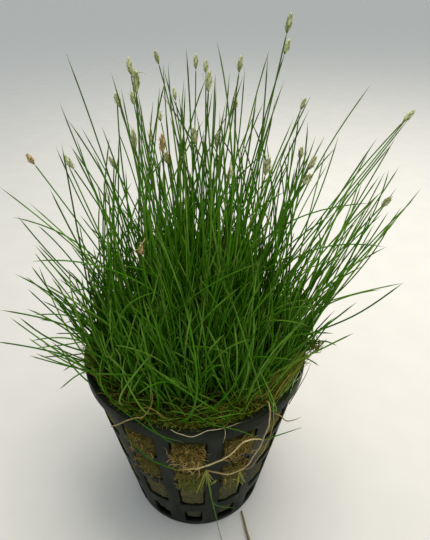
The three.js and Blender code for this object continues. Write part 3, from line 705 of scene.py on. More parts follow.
MATTED_WOOL = Rockwool(
    "matted_roots",
    dark=(0.030, 0.024, 0.005),
    middle=(0.085, 0.064, 0.012),
    pale=(0.15, 0.118, 0.03),
    moss=(0.06, 0.062, 0.01),
)
# The leaf's high tone is pale: blades differ in tone, and on the front blades it also stands for a painted
# highlight
GREEN_LEAF = LeafFinish(
    "leaf", (0.12, 0.15, 0.015), (0.022, 0.092, 0.001), (0.165, 0.31, 0.034), (0.06, 0.10, 0.012), 0.6, 0.1
)
SPIKELET_SCALE = StrandFinish(
    "spikelet", (0.12, 0.15, 0.04), (0.30, 0.33, 0.13), (0.68, 0.70, 0.40), (0.84, 0.84, 0.62), 0.65, 0.15
)
RIPE_SCALE = StrandFinish(
    "ripe_spikelet", (0.12, 0.1, 0.03), (0.28, 0.2, 0.07), (0.6, 0.46, 0.2), (0.7, 0.6, 0.36), 0.7, 0.15
)
PALE_ROOT = StrandFinish(
    "root", (0.28, 0.185, 0.04), (0.22, 0.13, 0.018), (0.64, 0.49, 0.17), (0.52, 0.37, 0.10), 0.6, 0.2
)
RUNNER_SKIN = StrandFinish(
    "runner", (0.24, 0.165, 0.05), (0.19, 0.12, 0.026), (0.53, 0.43, 0.21), (0.44, 0.34, 0.14), 0.6, 0.2
)
WHITE_ROOT = StrandFinish(
    "white_root", (0.40, 0.34, 0.21), (0.32, 0.26, 0.14), (0.62, 0.57, 0.42), (0.50, 0.45, 0.30), 0.6, 0.2
)
STRAW = StrandFinish(
    "straw", (0.07, 0.06, 0.012), (0.06, 0.048, 0.006), (0.25, 0.225, 0.045), (0.2, 0.165, 0.035), 0.75, 0.12
)
MOSS = StrandFinish(
    "moss", (0.045, 0.05, 0.005), (0.045, 0.068, 0.003), (0.15, 0.19, 0.012), (0.18, 0.21, 0.03), 0.75, 0.1
)
YOUNG_SHOOT = StrandFinish(
    "young_shoot", (0.26, 0.24, 0.07), (0.11, 0.13, 0.016), (0.28, 0.31, 0.05), (0.2, 0.26, 0.05), 0.6, 0.2
)
BROWN_STEM = StrandFinish(
    "dead_stem", (0.2, 0.15, 0.08), (0.13, 0.085, 0.04), (0.3, 0.22, 0.12), (0.05, 0.028, 0.013), 0.8, 0.2
)


@dataclass(frozen=True)
class Sight:
    """The photo's point of view, and the places that its columns and rows show."""

    eye: Row = (3.8, -76.4, 119.4)
    pitch: float = 33.0
    yaw: float = 0.5
    roll: float = 0.5
    focal: float = 424.0
    middle: Pair = (215.0, 270.0)

    def axes(self) -> tuple[Points, Points, Points]:
        """The photo's directions to the right, up and ahead."""
        pitch, yaw, roll = (math.radians(angle) for angle in (self.pitch, self.yaw, self.roll))
        forward = np.array([math.sin(yaw), math.cos(yaw), 0])
        ahead = forward * math.cos(pitch) - np.array([0, 0, math.sin(pitch)])
        level = np.array([math.cos(yaw), -math.sin(yaw), 0])
        above = np.cross(level, ahead)
        right = math.cos(roll) * level + math.sin(roll) * above
        up = math.cos(roll) * above - math.sin(roll) * level
        return right, up, ahead

    def ray(self, column: float, row: float) -> Points:
        """Direction of the line of sight through a place in the photo."""
        right, up, ahead = self.axes()
        across, down = (column - self.middle[0]) / self.focal, (row - self.middle[1]) / self.focal
        return ahead + right * across - up * down

    def at_height(self, column: float, row: float, height: float) -> Points:
        """Where the line of sight through a place in the photo passes a height."""
        ray = self.ray(column, row)
        return np.array(self.eye) + ray * (height - self.eye[2]) / ray[2]

    def route(self, rows: Rows) -> list[Points]:
        """Points from the photo's columns and rows and their heights."""
        return [self.at_height(*row) for row in rows]

    def at_depth(self, column: float, row: float, depth: float) -> Points:
        """Where the line of sight through a place in the photo is that far behind the pot's middle."""
        ray = self.ray(column, row)
        return np.array(self.eye) + ray * (depth - self.eye[1]) / ray[1]

    def before_opening(self, course: Points) -> float:
        """The share of a blade's course that it can grow before it shows in one of the openings.

        Args:
            course: The blade's centreline.

        Returns:
            The share, 1 where it crosses none.
        """
        right, up, ahead = self.axes()
        way = course - np.array(self.eye)
        far = way @ ahead
        columns = self.middle[0] + self.focal * (way @ right) / far
        rows = self.middle[1] - self.focal * (way @ up) / far
        share = 1.0
        for column, row, half_width, half_height in OPENINGS:
            inside = ((columns - column) / half_width) ** 2 + ((rows - row) / half_height) ** 2 < 1
            if inside.any():
                share = min(share, int(np.argmax(inside)) / len(course))
        return share


class Bundle:
    """Tubes, scales and shells gathered into one mesh, with a tone and a place along each strand."""

    def __init__(self) -> None:
        """Starts an empty bundle."""
        self.vertices: list[Points] = []
        self.faces: list[Face] = []
        self.tones: list[Points] = []
        self.alongs: list[Points] = []
        self.finishes: list[int] = []
        self.count = 0

    def add(self, vertices: Points, faces: list[Face], tone: float, along: Points, finish: int) -> None:
        """Adds a mesh.

        Args:
            vertices: Its points in millimetres.
            faces: Its faces, by the numbers of its points.
            tone: Its place between the finish's low and high colours.
            along: For each point, how far along the strand it is, from 0 to 1.
            finish: Number of its finish in the piece's list.
        """
        self.faces.extend(tuple(self.count + i for i in face) for face in faces)
        self.vertices.append(vertices)
        self.tones.append(np.full(len(vertices), tone))
        self.alongs.append(along)
        self.finishes.extend([finish] * len(faces))
        self.count += len(vertices)

    def tube(self, path: Points, radii: Points, sides: int, tone: float, finish: int = 0) -> None:
        """Adds a round strand that ends in a point.

        Args:
            path: Its centreline.
            radii: Its radius at each point of the path but the last.
            sides: Number of sides.
            tone: Its tone.
            finish: Number of its finish.
        """
        steps = len(path) - 1
        tangents = np.gradient(path, axis=0)
        tangents /= np.linalg.norm(tangents, axis=1)[:, None]
        across = np.cross(tangents[0], ASKEW)
        turns = np.arange(sides) * 2 * math.pi / sides
        cosines, sines = np.cos(turns)[:, None], np.sin(turns)[:, None]
        rings = []
        for k in range(steps):
            across = across - tangents[k] * (across @ tangents[k])
            across /= np.linalg.norm(across)
            side = np.cross(tangents[k], across)
            rings.append(path[k] + radii[k] * (cosines * across + sines * side))
        vertices = np.concatenate([*rings, path[-1:]])
        faces: list[Face] = [tuple(range(sides - 1, -1, -1))]
        for k in range(steps - 1):
            for i in range(sides):
                j = (i + 1) % sides
                faces.append((k * sides + i, k * sides + j, (k + 1) * sides + j, (k + 1) * sides + i))
        last = (steps - 1) * sides
        faces.extend((last + i, last + (i + 1) % sides, steps * sides) for i in range(sides))
        along = np.append(np.repeat(np.arange(steps) / steps, sides), 1)
        self.add(vertices, faces, tone, along, finish)

    def strand(
        self,
        path: Points,
        radius: float,
        sides: int,
        tone: float,
        ending: Ending = Ending.POINTED,
        finish: int = 0,
    ) -> None:
        """Adds a strand of one thickness that narrows to its end.

        Args:
            path: Its centreline.
            radius: Its radius at the start.
            sides: Number of sides.
            tone: Its tone.
            ending: How it ends.
            finish: Number of its finish.
        """
        shares = np.linspace(0, 1, len(path))
        taper = 1 - 0.85 * shares**3 if ending is Ending.POINTED else 1 - 0.2 * shares
        self.tube(path, radius * taper, sides, tone, finish)

    def grid(self, points: Points, tone: float, along: Points, finish: int = 0) -> None:
        """Adds a patch from a grid of points.

        Args:
            points: Rows and columns of points.
            tone: Its tone.
            along: How far along each point is, in the same grid.
            finish: Number of its finish.
        """
        rows, columns = points.shape[:2]
        faces = [
            (r * columns + c, r * columns + c + 1, (r + 1) * columns + c + 1, (r + 1) * columns + c)
            for r in range(rows - 1)
            for c in range(columns - 1)
        ]
        self.add(points.reshape(-1, 3), faces, tone, along.reshape(-1), finish)

    def shell(self, rings: list[Points], top: float) -> None:
        """Adds a closed surface round the pot's axis.

        Args:
            rings: Its rings of points, from the bottom up.
            top: The height that counts as its end.
        """
        points = np.array(rings)
        points = np.concatenate([points, points[:, :1]], axis=1)
        self.grid(points, 0.5, points[:, :, 2] / top)

    def piece(self, name: str, materials: Finishes, slot: str, *nodes: str) -> bpy.types.Object:
        """Makes the piece.

        Args:
            name: The piece's name.
            materials: Its finishes, in the order of their numbers.
            slot: The record's material slot; not used.
            nodes: The nodes that it stands for.

        Returns:
            The object, in its place.
        """
        mesh = bpy.data.meshes.new(name)
        mesh.from_pydata((np.concatenate(self.vertices) * METRES).tolist(), [], self.faces)
        for label, values in (("tone", self.tones), ("along", self.alongs)):
            layer = mesh.attributes.new(label, "FLOAT", "POINT")
            layer.data.foreach_set("value", np.concatenate(values).astype(np.float32))
        for material in materials:
            mesh.materials.append(material)
        mesh.polygons.foreach_set("material_index", np.array(self.finishes, np.int32))
        mesh.polygons.foreach_set("use_smooth", np.ones(len(self.faces), bool))
        mesh.update()
        made = bpy.data.objects.new(name, mesh)
        bpy.context.scene.collection.objects.link(made)
        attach(made, "root")
        if nodes:
            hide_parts(*nodes)
        LOG.info("%s: %d faces", name, len(self.faces))
        return made


@dataclass
class NetPot:
    """The moulded pot: a conical wall with rows of windows, a lip, and a floor with slots.

    A row of windows has its bottom, its top and how many degrees each window spans.
    """

    height: float = 50.0
    base_radius: float = 18.2
    wall_top_radius: float = 25.3
    wall: float = 0.9
    floor: float = 1.4
    lip_height: float = 3.0
    rim_radius: float = 26.0
    base_bevel: float = 0.7
    foot: float = 1.2
    head: float = 46.4
    rim_rounding: float = 0.4
    inner_rounding: float = 0.3
    columns: int = 14
    first_column: float = -92.0
    rows: Rows = ((2.6, 9.2, 13.4), (13.4, 22.2, 17.1), (25.0, 33.6, 17.1), (36.2, 45.0, 17.8))
    slots: int = 7
    slot_radii: Pair = (7.0, 14.0)
    slot_span: float = 22.0
    slot_ring: Pair = (5.4, 15.6)
    corner: float = 0.8
    corner_steps: int = 3
    edge: float = 0.16
    across: int = 10
    upright: int = 10

    def wall_radius(self, height: float) -> float:
        """Outer radius of the wall at a height."""
        return mix(self.base_radius, self.wall_top_radius, height / (self.height - self.lip_height))

    def along_wall(self, rows: Rows, steps: int) -> Points:
        """A smooth curve through points given by bearing, distance from the wall and height."""
        points = [
            polar(bearing, self.wall_radius(min(height, self.height)) + outset, height)
            for bearing, outset, height in rows
        ]
        return smooth_route(points, steps)

    def outside(self, path: Points, gap: float) -> Points:
        """A path kept at least a gap outside the wall."""
        reach = np.hypot(path[:, 0], path[:, 1])
        least = self.wall_radius(np.minimum(path[:, 2], self.height - self.lip_height)) + gap
        return path * np.stack([np.maximum(1, least / reach)] * 2 + [np.ones(len(path))], axis=1)

    def _cell(self, half_width: float, half_height: float, bounds: Four) -> list[list[Row]]:
        """Rings of a flat cell about a window, from its border to the window's edge and through it.

        Args:
            half_width: Half the window's width.
            half_height: Half the window's height.
            bounds: How far the cell reaches to the left, right, bottom and top of the window's middle.

        Returns:
            Rings of (x, y, depth) points, all with the same number of points.
        """
        left, right, bottom, top = bounds
        counts = (self.across, self.upright) * 2
        steps, step = self.corner_steps, 45 / self.corner_steps
        ends = ((-left, -bottom), (right, -bottom), (right, top), (-left, top))
        border: list[Pair] = []
        for (ax, ay), (bx, by), count in zip(ends, (*ends[1:], ends[0]), counts):
            border += [(mix(ax, bx, k / count), mix(ay, by, k / count)) for k in range(count)]
        x, y = half_width - self.corner, half_height - self.corner
        corners = ((-x, -y), (x, -y), (x, y), (-x, y))
        sides = list(zip(corners, (*corners[1:], corners[0]), (180, 270, 0, 90), counts))

        def outline(grow: float) -> list[Pair]:
            """The window's rounded outline, grown outwards."""

            def spot(corner: Pair, turn: float) -> Pair:
                """A point of a corner's rounding, by its direction from the middle of the rounding."""
                angle, radius = math.radians(turn), self.corner + grow
                return corner[0] + radius * math.cos(angle), corner[1] + radius * math.sin(angle)

            points = []
            for here, there, start, count in sides:
                a, b = spot(here, start + 90), spot(there, start + 90)
                for k in range(count):
                    if k <= steps:
                        points.append(spot(here, start + 45 + step * k))
                    elif k >= count - steps:
                        points.append(spot(there, start + 135 - step * (count - k)))
                    else:
                        share = (k - steps) / (count - 2 * steps)
                        points.append((mix(a[0], b[0], share), mix(a[1], b[1], share)))
            return points

        edge = self.edge
        near = ((0.5, 0.0), (edge, 0.0), (0.35 * edge, 0.3 * edge), (0.0, edge))
        profile = (*near, (0.0, 0.5), *((grow, 1 - depth) for grow, depth in reversed(near)))
        rings = [[(x, y, 0.0) for x, y in border]]
        rings += [[(x, y, depth) for x, y in outline(grow)] for grow, depth in profile]
        return [*rings, [(x, y, 1.0) for x, y in border]]

    def _ringed(self, bundle: Bundle, rings: list[Points]) -> None:
        """Adds the faces between closed rings of points."""
        count = len(rings[0])
        faces = []
        for k in range(len(rings) - 1):
            for i in range(count):
                j = (i + 1) % count
                faces.append((k * count + i, (k + 1) * count + i, (k + 1) * count + j, k * count + j))
        points = np.concatenate(rings)
        bundle.add(points, faces, 0.5, points[:, 2] / self.height, 0)

    def _in_wall(self, bearing: float, height: float, depth: float) -> Points:
        """A point of the wall, whose depth is 0 on its outside and 1 on its inside."""
        return polar(bearing, self.wall_radius(height) - depth * self.wall, height)

    def _wall(self, bundle: Bundle) -> None:
        """Adds the wall's cells."""
        between = [(lower[1] + upper[0]) / 2 for lower, upper in zip(self.rows, self.rows[1:])]
        limits = [self.foot, *between, self.head]
        pitch = 360 / self.columns
        for (bottom, top, span), low, high in zip(self.rows, limits, limits[1:]):
            middle = (bottom + top) / 2
            radius = self.wall_radius(middle)
            scale = math.radians(1) * radius
            half = pitch / 2 * scale
            bounds = (half, half, middle - low, high - middle)
            cell = self._cell(span / 2 * scale, (top - bottom) / 2, bounds)
            for column in range(self.columns):
                turn = self.first_column + column * pitch
                self._ringed(bundle, [
                    np.array([self._in_wall(turn + x / scale, middle + y, depth) for x, y, depth in layer])
                    for layer in cell
                ])

    def _floor_cells(self, bundle: Bundle) -> None:
        """Adds the cells about the floor's slots."""
        inner, outer = self.slot_ring
        low, high = self.slot_radii
        middle = (low + high) / 2
        scale = math.radians(1) * middle
        pitch = 360 / self.slots
        half = pitch / 2 * scale
        bounds = (half, half, middle - inner, outer - middle)
        cell = self._cell(self.slot_span / 2 * scale, (high - low) / 2, bounds)
        for slot in range(self.slots):
            turn = slot * pitch
            self._ringed(bundle, [
                np.array([polar(turn + x / scale, middle + y, depth * self.floor) for x, y, depth in layer])
                for layer in reversed(cell)
            ])

    def _turned(self, bundle: Bundle, outline: list[Pair], start: float) -> None:
        """Adds a band turned about the axis from an outline of radius and height."""
        facets = self.columns * self.across
        self._ringed(bundle, [ring(radius, height, facets, start) for radius, height in outline])

    def _lip(self) -> list[Pair]:
        """Outline of the lip, from the wall's outside over the rim to its inside."""
        bottom = self.height - self.lip_height
        rim, inside = self.rim_radius, self.wall_radius(self.height) - self.wall
        large, small = self.rim_rounding, self.inner_rounding
        return [
            (self.wall_radius(self.head), self.head),
            (self.wall_top_radius, bottom - 0.25),
            (self.wall_top_radius + 0.12, bottom - 0.06),
            (rim - 0.18, bottom),
            (rim - 0.04, bottom + 0.06),
            (rim, bottom + 0.22),
            (rim, self.height - large),
            *rounding((rim - large, self.height - large), large, (0, 90), 5),
            *rounding((inside + small, self.height - small), small, (90, 180), 5),
            (self.wall_radius(self.head) - self.wall, self.head),
        ]

    def build(self, finish: PotPlastic) -> bpy.types.Object:
        """Makes the pot.

        Args:
            finish: The pot's plastic.

        Returns:
            The pot.
        """
        bundle = Bundle()
        self._wall(bundle)
        start = self.first_column - 180 / self.columns
        self._turned(bundle, self._lip(), start)
        inner, outer = self.slot_ring
        bevel, floor = self.base_bevel, self.floor
        outside = [
            (outer, 0),
            *reversed(rounding((self.base_radius - bevel, bevel), bevel, (0, -90), 4)),
            (self.wall_radius(bevel), bevel),
            (self.wall_radius(self.foot), self.foot),
        ]
        inside = [
            (self.wall_radius(self.foot) - self.wall, floor + 0.2),
            (self.wall_radius(floor) - self.wall - 0.5, floor),
            (outer, floor),
        ]
        self._turned(bundle, outside, start)
        self._turned(bundle, inside, start)
        self._floor_cells(bundle)
        self._turned(bundle, [(0.01, 0), (inner, 0)], 0)
        self._turned(bundle, [(inner, floor), (0.01, floor)], 0)
        made = bundle.piece("pot_shell", [finish.material()], "pot_plastic", "net_pot")
        made.data.validate()
        return made


@dataclass
class Plug:
    """The rockwool that fills the pot, lumpy and fibrous at the windows."""

    pot: NetPot
    top: float = 41.0
    clearance: float = 0.3
    bulge: float = 0.95
    window_margin: Pair = (0.4, 0.2)
    window_edge: Pair = (1.6, 0.7)
    shrink: float = 0.9
    shrunk_below: float = 10.0
    lump: float = 3.5
    tuft: float = 0.7
    shoulder: float = 1.6
    shoulder_cut: float = 1.2
    cap_radii: Row = (16.0, 8.0, 0.01)
    around: int = 420
    levels: int = 130

    def _in_window(self, bearing: float, height: float) -> float:
        """How well inside a window a place is, from 0 behind the bars to 1."""
        pitch = 360 / self.pot.columns
        across = abs((bearing - self.pot.first_column + pitch / 2) % pitch - pitch / 2)
        best = 0.0
        beside, over = self.window_margin
        for bottom, top, span in self.pot.rows:
            sideways = (span / 2 + beside - across) / self.window_edge[0]
            upright = min(height + over - bottom, top + over - height) / self.window_edge[1]
            best = max(best, min(1.0, sideways, upright))
        return best * best * (3 - 2 * best)

    def radius(self, bearing: float, height: float) -> float:
        """Radius of the wool at a place: it bulges into the windows and shrinks low in the pot."""
        shrink = self.shrink * max(0.0, 1 - height / self.shrunk_below) ** 1.5
        bulge = self.bulge * self._in_window(bearing, height)
        return self.pot.wall_radius(height) - self.pot.wall - self.clearance - shrink + bulge

    def _surface(self, bearing: float, height: float, cut: float) -> Points:
        """A point of the lumpy surface.

        Args:
            bearing: Its bearing.
            height: Its height.
            cut: How much nearer the axis it is, as the top's edge is.

        Returns:
            The point.
        """
        point = polar(bearing, self.radius(bearing, height) - cut, height)
        lumps = noise.fractal(Vector(point / self.lump), 0.8, 2.2, 5)
        tufts = noise.noise(Vector(point / self.tuft))
        inward = 0.24 * max(-1.0, min(0.5, lumps)) + 0.12 * tufts - 0.2
        return polar(bearing, self.radius(bearing, height) - cut + inward, height)

    def build(self, finish: Rockwool) -> bpy.types.Object:
        """Makes the wool.

        Args:
            finish: The wool's finish.

        Returns:
            The wool.
        """
        bundle = Bundle()
        low = self.pot.floor + 0.4
        rows = []
        for k in range(self.levels + 1):
            height = mix(low, self.top, k / self.levels)
            cut = self.shoulder_cut * max(0.0, (height - self.top + self.shoulder) / self.shoulder) ** 2
            rows.append([self._surface(360 * i / self.around, height, cut) for i in range(self.around)])
        under, over = ([ring(r, height, self.around) for r in self.cap_radii] for height in (low, self.top))
        bundle.shell([*reversed(under), *rows, *over], self.top)
        return bundle.piece("rockwool", [finish.material()], "rockwool", "rockwool_plug")


@dataclass
class Mat:
    """The matted layer under the blades, with moss cushions, short moss shoots and straw.

    Its finishes are the thatch's, the moss's, the straw's and the leaf's, numbered from 0.
    """

    pot: NetPot
    sight: Sight
    top: float = 46.0
    cushion: float = 1.6
    front_cushion: float = 2.3
    cushion_radius: float = 22.4
    cushion_width: float = 4.5
    lump: float = 3.2
    loft: float = 0.25
    wall_gap: float = 0.05
    side_levels: Four = (41.35, 42.85, 44.35, 45.4)
    moss_edge: float = 24.0
    shoot_lengths: Pair = (0.7, 2.3)
    shoot_radii: Pair = (0.07, 0.15)
    straw_field: float = 23.0
    straw_edge: float = 24.2
    straw_lengths: Pair = (1.5, 6.0)
    straw_radii: Pair = (0.07, 0.17)
    clump_root: float = 47.0
    clump_rim: float = 24.8
    clump_radii: Pair = (0.06, 0.12)
    sheaf_widths: Four = (1.7, 1.3, 0.9, 1.2)
    sheaf_radii: Pair = (0.07, 0.13)
    thread_field: Pair = (17.5, 23.8)
    thread_edge: float = 24.6
    thread_lengths: Pair = (4.0, 15.0)
    thread_radii: Pair = (0.06, 0.13)
    shoots: int = 6200
    straws: int = 460
    rings: int = 34
    around: int = 180
    threads: int = 260
    sheaf_straws: int = 120
    tangle: int = 130

    def height(self, bearing: float, radius: float) -> float:
        """Height of the mat's top at a place."""
        point = polar(bearing, radius, 0)
        lumps = noise.fractal(Vector(point / self.lump) + Vector((7, 3, 1)), 0.7, 2.1, 4)
        edge = max(0.0, 1 - abs(radius - self.cushion_radius) / self.cushion_width)
        front = max(0.0, math.cos(math.radians(bearing - FRONT))) ** 2
        cushion = self.cushion + self.front_cushion * front
        heaped = 0.0
        for at, distance, width, rise in CUSHIONS:
            heaped += rise * math.exp(-float(np.sum((point - polar(at, distance, 0)) ** 2)) / width**2)
        fullness = 0.6 + 0.4 * max(-0.8, min(1.0, lumps))
        flat = self.top + self.loft + cushion * edge * fullness + 0.15 * lumps
        return flat + heaped * (1 + 0.5 * lumps)

    def _bed(self, bundle: Bundle) -> None:
        """Adds the mat's body."""
        side = [
            ring(self.pot.wall_radius(level) - self.pot.wall - self.wall_gap, level, self.around)
            for level in self.side_levels
        ]
        outer = self.pot.wall_radius(self.top) - self.pot.wall - self.wall_gap
        radii = [outer * (1 - k / self.rings) ** 0.8 + 0.01 for k in range(self.rings)]
        turns = [360 * i / self.around for i in range(self.around)]
        over = [[polar(turn, radius, self.height(turn, radius)) for turn in turns] for radius in radii]
        bundle.shell([*side, *over], self.top)

    def _moss(self, bundle: Bundle, rng: Chance) -> None:
        """Adds short moss shoots, most of them near the edge."""
        for _ in range(self.shoots):
            bearing = rng.uniform(0, 360)
            radius = self.moss_edge * rng.uniform(0, 1) ** 0.2
            foot = polar(bearing, radius, self.height(bearing, radius) - 0.3)
            lean = rng.normal(0, 0.6, 3) + np.array([0, 0, 1.0])
            length = rng.uniform(*self.shoot_lengths)
            bend = rng.normal(0, 0.25, 3)
            steps = np.linspace(0, 1, 4)[:, None]
            path = foot + length * (steps * lean / np.linalg.norm(lean) + steps**2 * bend)
            bundle.strand(path, rng.uniform(*self.shoot_radii), 3, rng.uniform(0, 1) ** 1.3, finish=1)

    def _straw(self, bundle: Bundle, rng: Chance) -> None:
        """Adds dead blades and root ends that lie on the mat."""
        for _ in range(self.straws):
            bearing = rng.uniform(0, 360)
            radius = self.straw_field * rng.uniform(0, 1) ** 0.4
            middle = polar(bearing, radius, self.height(bearing, radius) + rng.uniform(0.1, 0.9))
            heading = rng.uniform(0, 360)
            length = rng.uniform(*self.straw_lengths)
            path = []
            for t in np.linspace(-0.5, 0.5, 7):
                point = middle + polar(heading + 60 * t * rng.normal(0, 0.4), length * t, 0)
                point[2] += 0.35 * math.sin(5 * t + bearing)
                reach = math.hypot(point[0], point[1])
                point[:2] *= min(1.0, self.straw_edge / max(reach, 0.1))
                path.append(point)
            radius, tone = rng.uniform(*self.straw_radii), rng.uniform(0, 1) ** 2
            bundle.strand(np.array(path), radius, 4, tone, finish=2)

    def _clump(self, bundle: Bundle, rng: Chance) -> None:
        """Adds the clumps of dead blades, roots and moss that lean out over the rim."""
        for clump in CLUMPS:
            for _ in range(clump.strands):
                bearing = clump.bearing + rng.normal(0, clump.spread)
                foot = polar(bearing + rng.normal(0, 5), rng.uniform(20, 23), self.clump_root)
                rim = polar(bearing, self.clump_rim + rng.normal(0, 0.5), rng.uniform(*clump.heights))
                length = clump.reach * rng.uniform(0.2, 1)
                if clump.reach > 2:
                    lift = rng.normal(0.1 * clump.reach, 0.5) * length
                else:
                    lift = rng.uniform(-0.3, 0.3)
                end = rim + polar(bearing + rng.normal(0, 45), length, 0) + np.array([0, 0, lift])
                middle = (rim + end) / 2 + rng.normal(0, 0.1 * clump.reach, 3)
                path = smooth_route([foot, rim, middle, end], 12)
                finish = pick(rng, (1, 2, 3), (0.5, 0.35, 0.15))
                bundle.strand(path, rng.uniform(*self.clump_radii), 4, rng.uniform(0.3, 1), finish=finish)

    def _straw_sheaf(self, bundle: Bundle, rng: Chance) -> None:
        """Adds the sheaf of old straw that leans out over the rim at the right and ends in a tangle."""
        route = np.array(self.sight.route(STRAW_SHEAF))
        widths = np.array(self.sheaf_widths)[:, None]
        for _ in range(self.sheaf_straws):
            points = route + rng.normal(0, 1, (1, 3)) * widths + rng.normal(0, 0.3, (4, 3))
            course = smooth_route(list(points), 16)[: int(rng.integers(10, 18))]
            finish = pick(rng, (1, 2, 3), (0.45, 0.3, 0.25))
            bundle.strand(course, rng.uniform(*self.sheaf_radii), 4, rng.uniform(0.4, 1), finish=finish)
        for _ in range(self.tangle):
            heading = rng.normal(0, 1, 3)
            heading *= rng.uniform(0.6, 2.0) / np.linalg.norm(heading)
            t = np.linspace(0, 1, 7)[:, None]
            path = route[3] + rng.normal(0, 0.75, 3) + heading * t + rng.normal(0, 0.4, 3) * np.sin(4 * t)
            finish = pick(rng, (1, 2), (0.4, 0.6))
            bundle.strand(path, rng.uniform(*self.sheaf_radii), 3, rng.uniform(0.4, 1), finish=finish)

    def _cross_threads(self, bundle: Bundle, rng: Chance) -> None:
        """Adds fine blades and dead ones that cross low over the moss inside the front of the rim."""
        for _ in range(self.threads):
            bearing = FRONT + rng.normal(0, 40)
            radius = rng.uniform(*self.thread_field)
            start = polar(bearing, radius, self.height(bearing, radius) - 0.2)
            heading = bearing + rng.choice((-90, 90)) + rng.normal(0, 45)
            length = rng.uniform(*self.thread_lengths)
            rise = length * rng.uniform(0.06, 0.38)
            t = np.linspace(0, 1, 10)[:, None]
            path = start + polar(heading, length, 0) * t + np.array([0, 0, rise]) * np.sin(2.6 * t)
            path = path + rng.normal(0, 0.05 * length, 3) * np.sin(math.pi * t)
            path[:, :2] *= np.minimum(1, self.thread_edge / np.hypot(path[:, 0], path[:, 1]))[:, None]
            finish = pick(rng, (1, 2, 3), (0.15, 0.2, 0.65))
            bundle.strand(path, rng.uniform(*self.thread_radii), 4, rng.uniform(0.3, 1), finish=finish)

    def build(self, finish: Thatch, rng: Chance) -> bpy.types.Object:
        """Makes the mat.

        Args:
            finish: The mat's finish.
            rng: Source of chance.

        Returns:
            The mat.
        """
        bundle = Bundle()
        self._bed(bundle)
        self._moss(bundle, rng)
        self._straw(bundle, rng)
        self._clump(bundle, rng)
        self._straw_sheaf(bundle, rng)
        self._cross_threads(bundle, rng)
        finishes = [finish.material(), MOSS.material(), STRAW.material(), GREEN_LEAF.material()]
        return bundle.piece("moss_and_thatch", finishes, "thatch", "thatch_mat")


@dataclass(frozen=True)
class Fountain:
    """How the long blades part: straight up in the middle of the pot, and leaning out at its edge."""

    root_radius: float = 21.0
    root_height: float = 46.95
    lean_at_root: float = 28.0
    lean_gained: float = 26.0
    lean_length: float = 60.0
    steps: int = 8

    def at(self, bearing: float, spread: float, length: float) -> Points:
        """Where a blade is after a length.

        Args:
            bearing: The blade's bearing.
            spread: 0 in the middle of the pot, 1 at its edge.
            length: Length from the root.

        Returns:
            The point.
        """
        step = length / self.steps
        radius = self.root_radius * spread
        height = self.root_height
        for k in range(self.steps):
            gained = self.lean_gained * (k + 0.5) * step / self.lean_length
            lean = math.radians(spread * (self.lean_at_root + gained))
            radius += math.sin(lean) * step
            height += math.cos(lean) * step
        return polar(bearing, radius, height)


@dataclass
class Spikelet:
    """A flower head: an egg of overlapping scales, with pale curled threads on some."""

    length: float
    radius: float
    scales: int = 13
    first_scale: float = 0.02
    scales_span: float = 0.72
    scale_length: float = 0.32
    scale_half_width: float = 0.62
    thread_length: float = 1.6
    thread_radius: float = 0.055
    finish: int = 1

    def _girth(self, share: float) -> float:
        """Its radius at a share of its length."""
        return self.radius * math.sin(math.pi * min(max(share, 0.02), 0.98) ** 0.8) ** 0.7

    def add_to(self, bundle: Bundle, tip: Points, along: Points, rng: Chance, threads: int) -> None:
        """Adds a spikelet.

        Args:
            bundle: Where it goes.
            tip: Its tip.
            along: Direction that it points in.
            rng: Source of chance.
            threads: How many pale threads stand out of it.
        """
        foot = tip - along * self.length
        across = unit(np.cross(along, [0.3, 0.9, 0.2]))
        side = np.cross(along, across)
        tone = rng.uniform(0.1, 0.7)
        shares = np.linspace(0, 1, 8)
        girth = np.array([0.66 * self._girth(share) + 0.04 for share in shares])
        bundle.tube(foot + shares[:, None] * along * self.length, girth, 7, 0, self.finish)
        for k in range(self.scales):
            base = self.first_scale + self.scales_span * k / self.scales
            turn = math.radians(GOLDEN_TURN * k + rng.uniform(-12, 12))
            points = np.zeros((5, 3, 3))
            for r, t in enumerate(np.linspace(0, 1, 5)):
                at = base + self.scale_length * t
                out = self._girth(at) + 0.02 + 0.2 * t**2
                width = self.scale_half_width * math.sin(math.pi * (0.25 + 0.74 * t))
                for c, w in enumerate((-1, 0, 1)):
                    swing = turn + w * width
                    direction = math.cos(swing) * across + math.sin(swing) * side
                    points[r, c] = foot + along * self.length * at + direction * (out - 0.07 * abs(w))
            shade = np.repeat(np.linspace(0.15, 1, 5)[:, None], 3, axis=1)
            bundle.grid(points, clamped(tone + rng.uniform(-0.4, 0.5)), shade, self.finish)
        for _ in range(threads):
            start = foot + along * self.length * rng.uniform(0.35, 0.95)
            heading = rng.normal(0, 1, 3) + 0.4 * along
            heading /= np.linalg.norm(heading)
            curl = rng.normal(0, 0.5, 3)
            t = np.linspace(0, 1, 7)[:, None]
            path = start + heading * self.thread_length * t + curl * np.sin(3 * t) * 0.5
            bundle.strand(path, self.thread_radius, 3, 1.0, finish=self.finish)


@dataclass(frozen=True)
class Blade:
    """A blade that keeps to a course of its own: its centreline, its radius at the foot and its tone."""

    course: Points
    radius: float
    tone: float


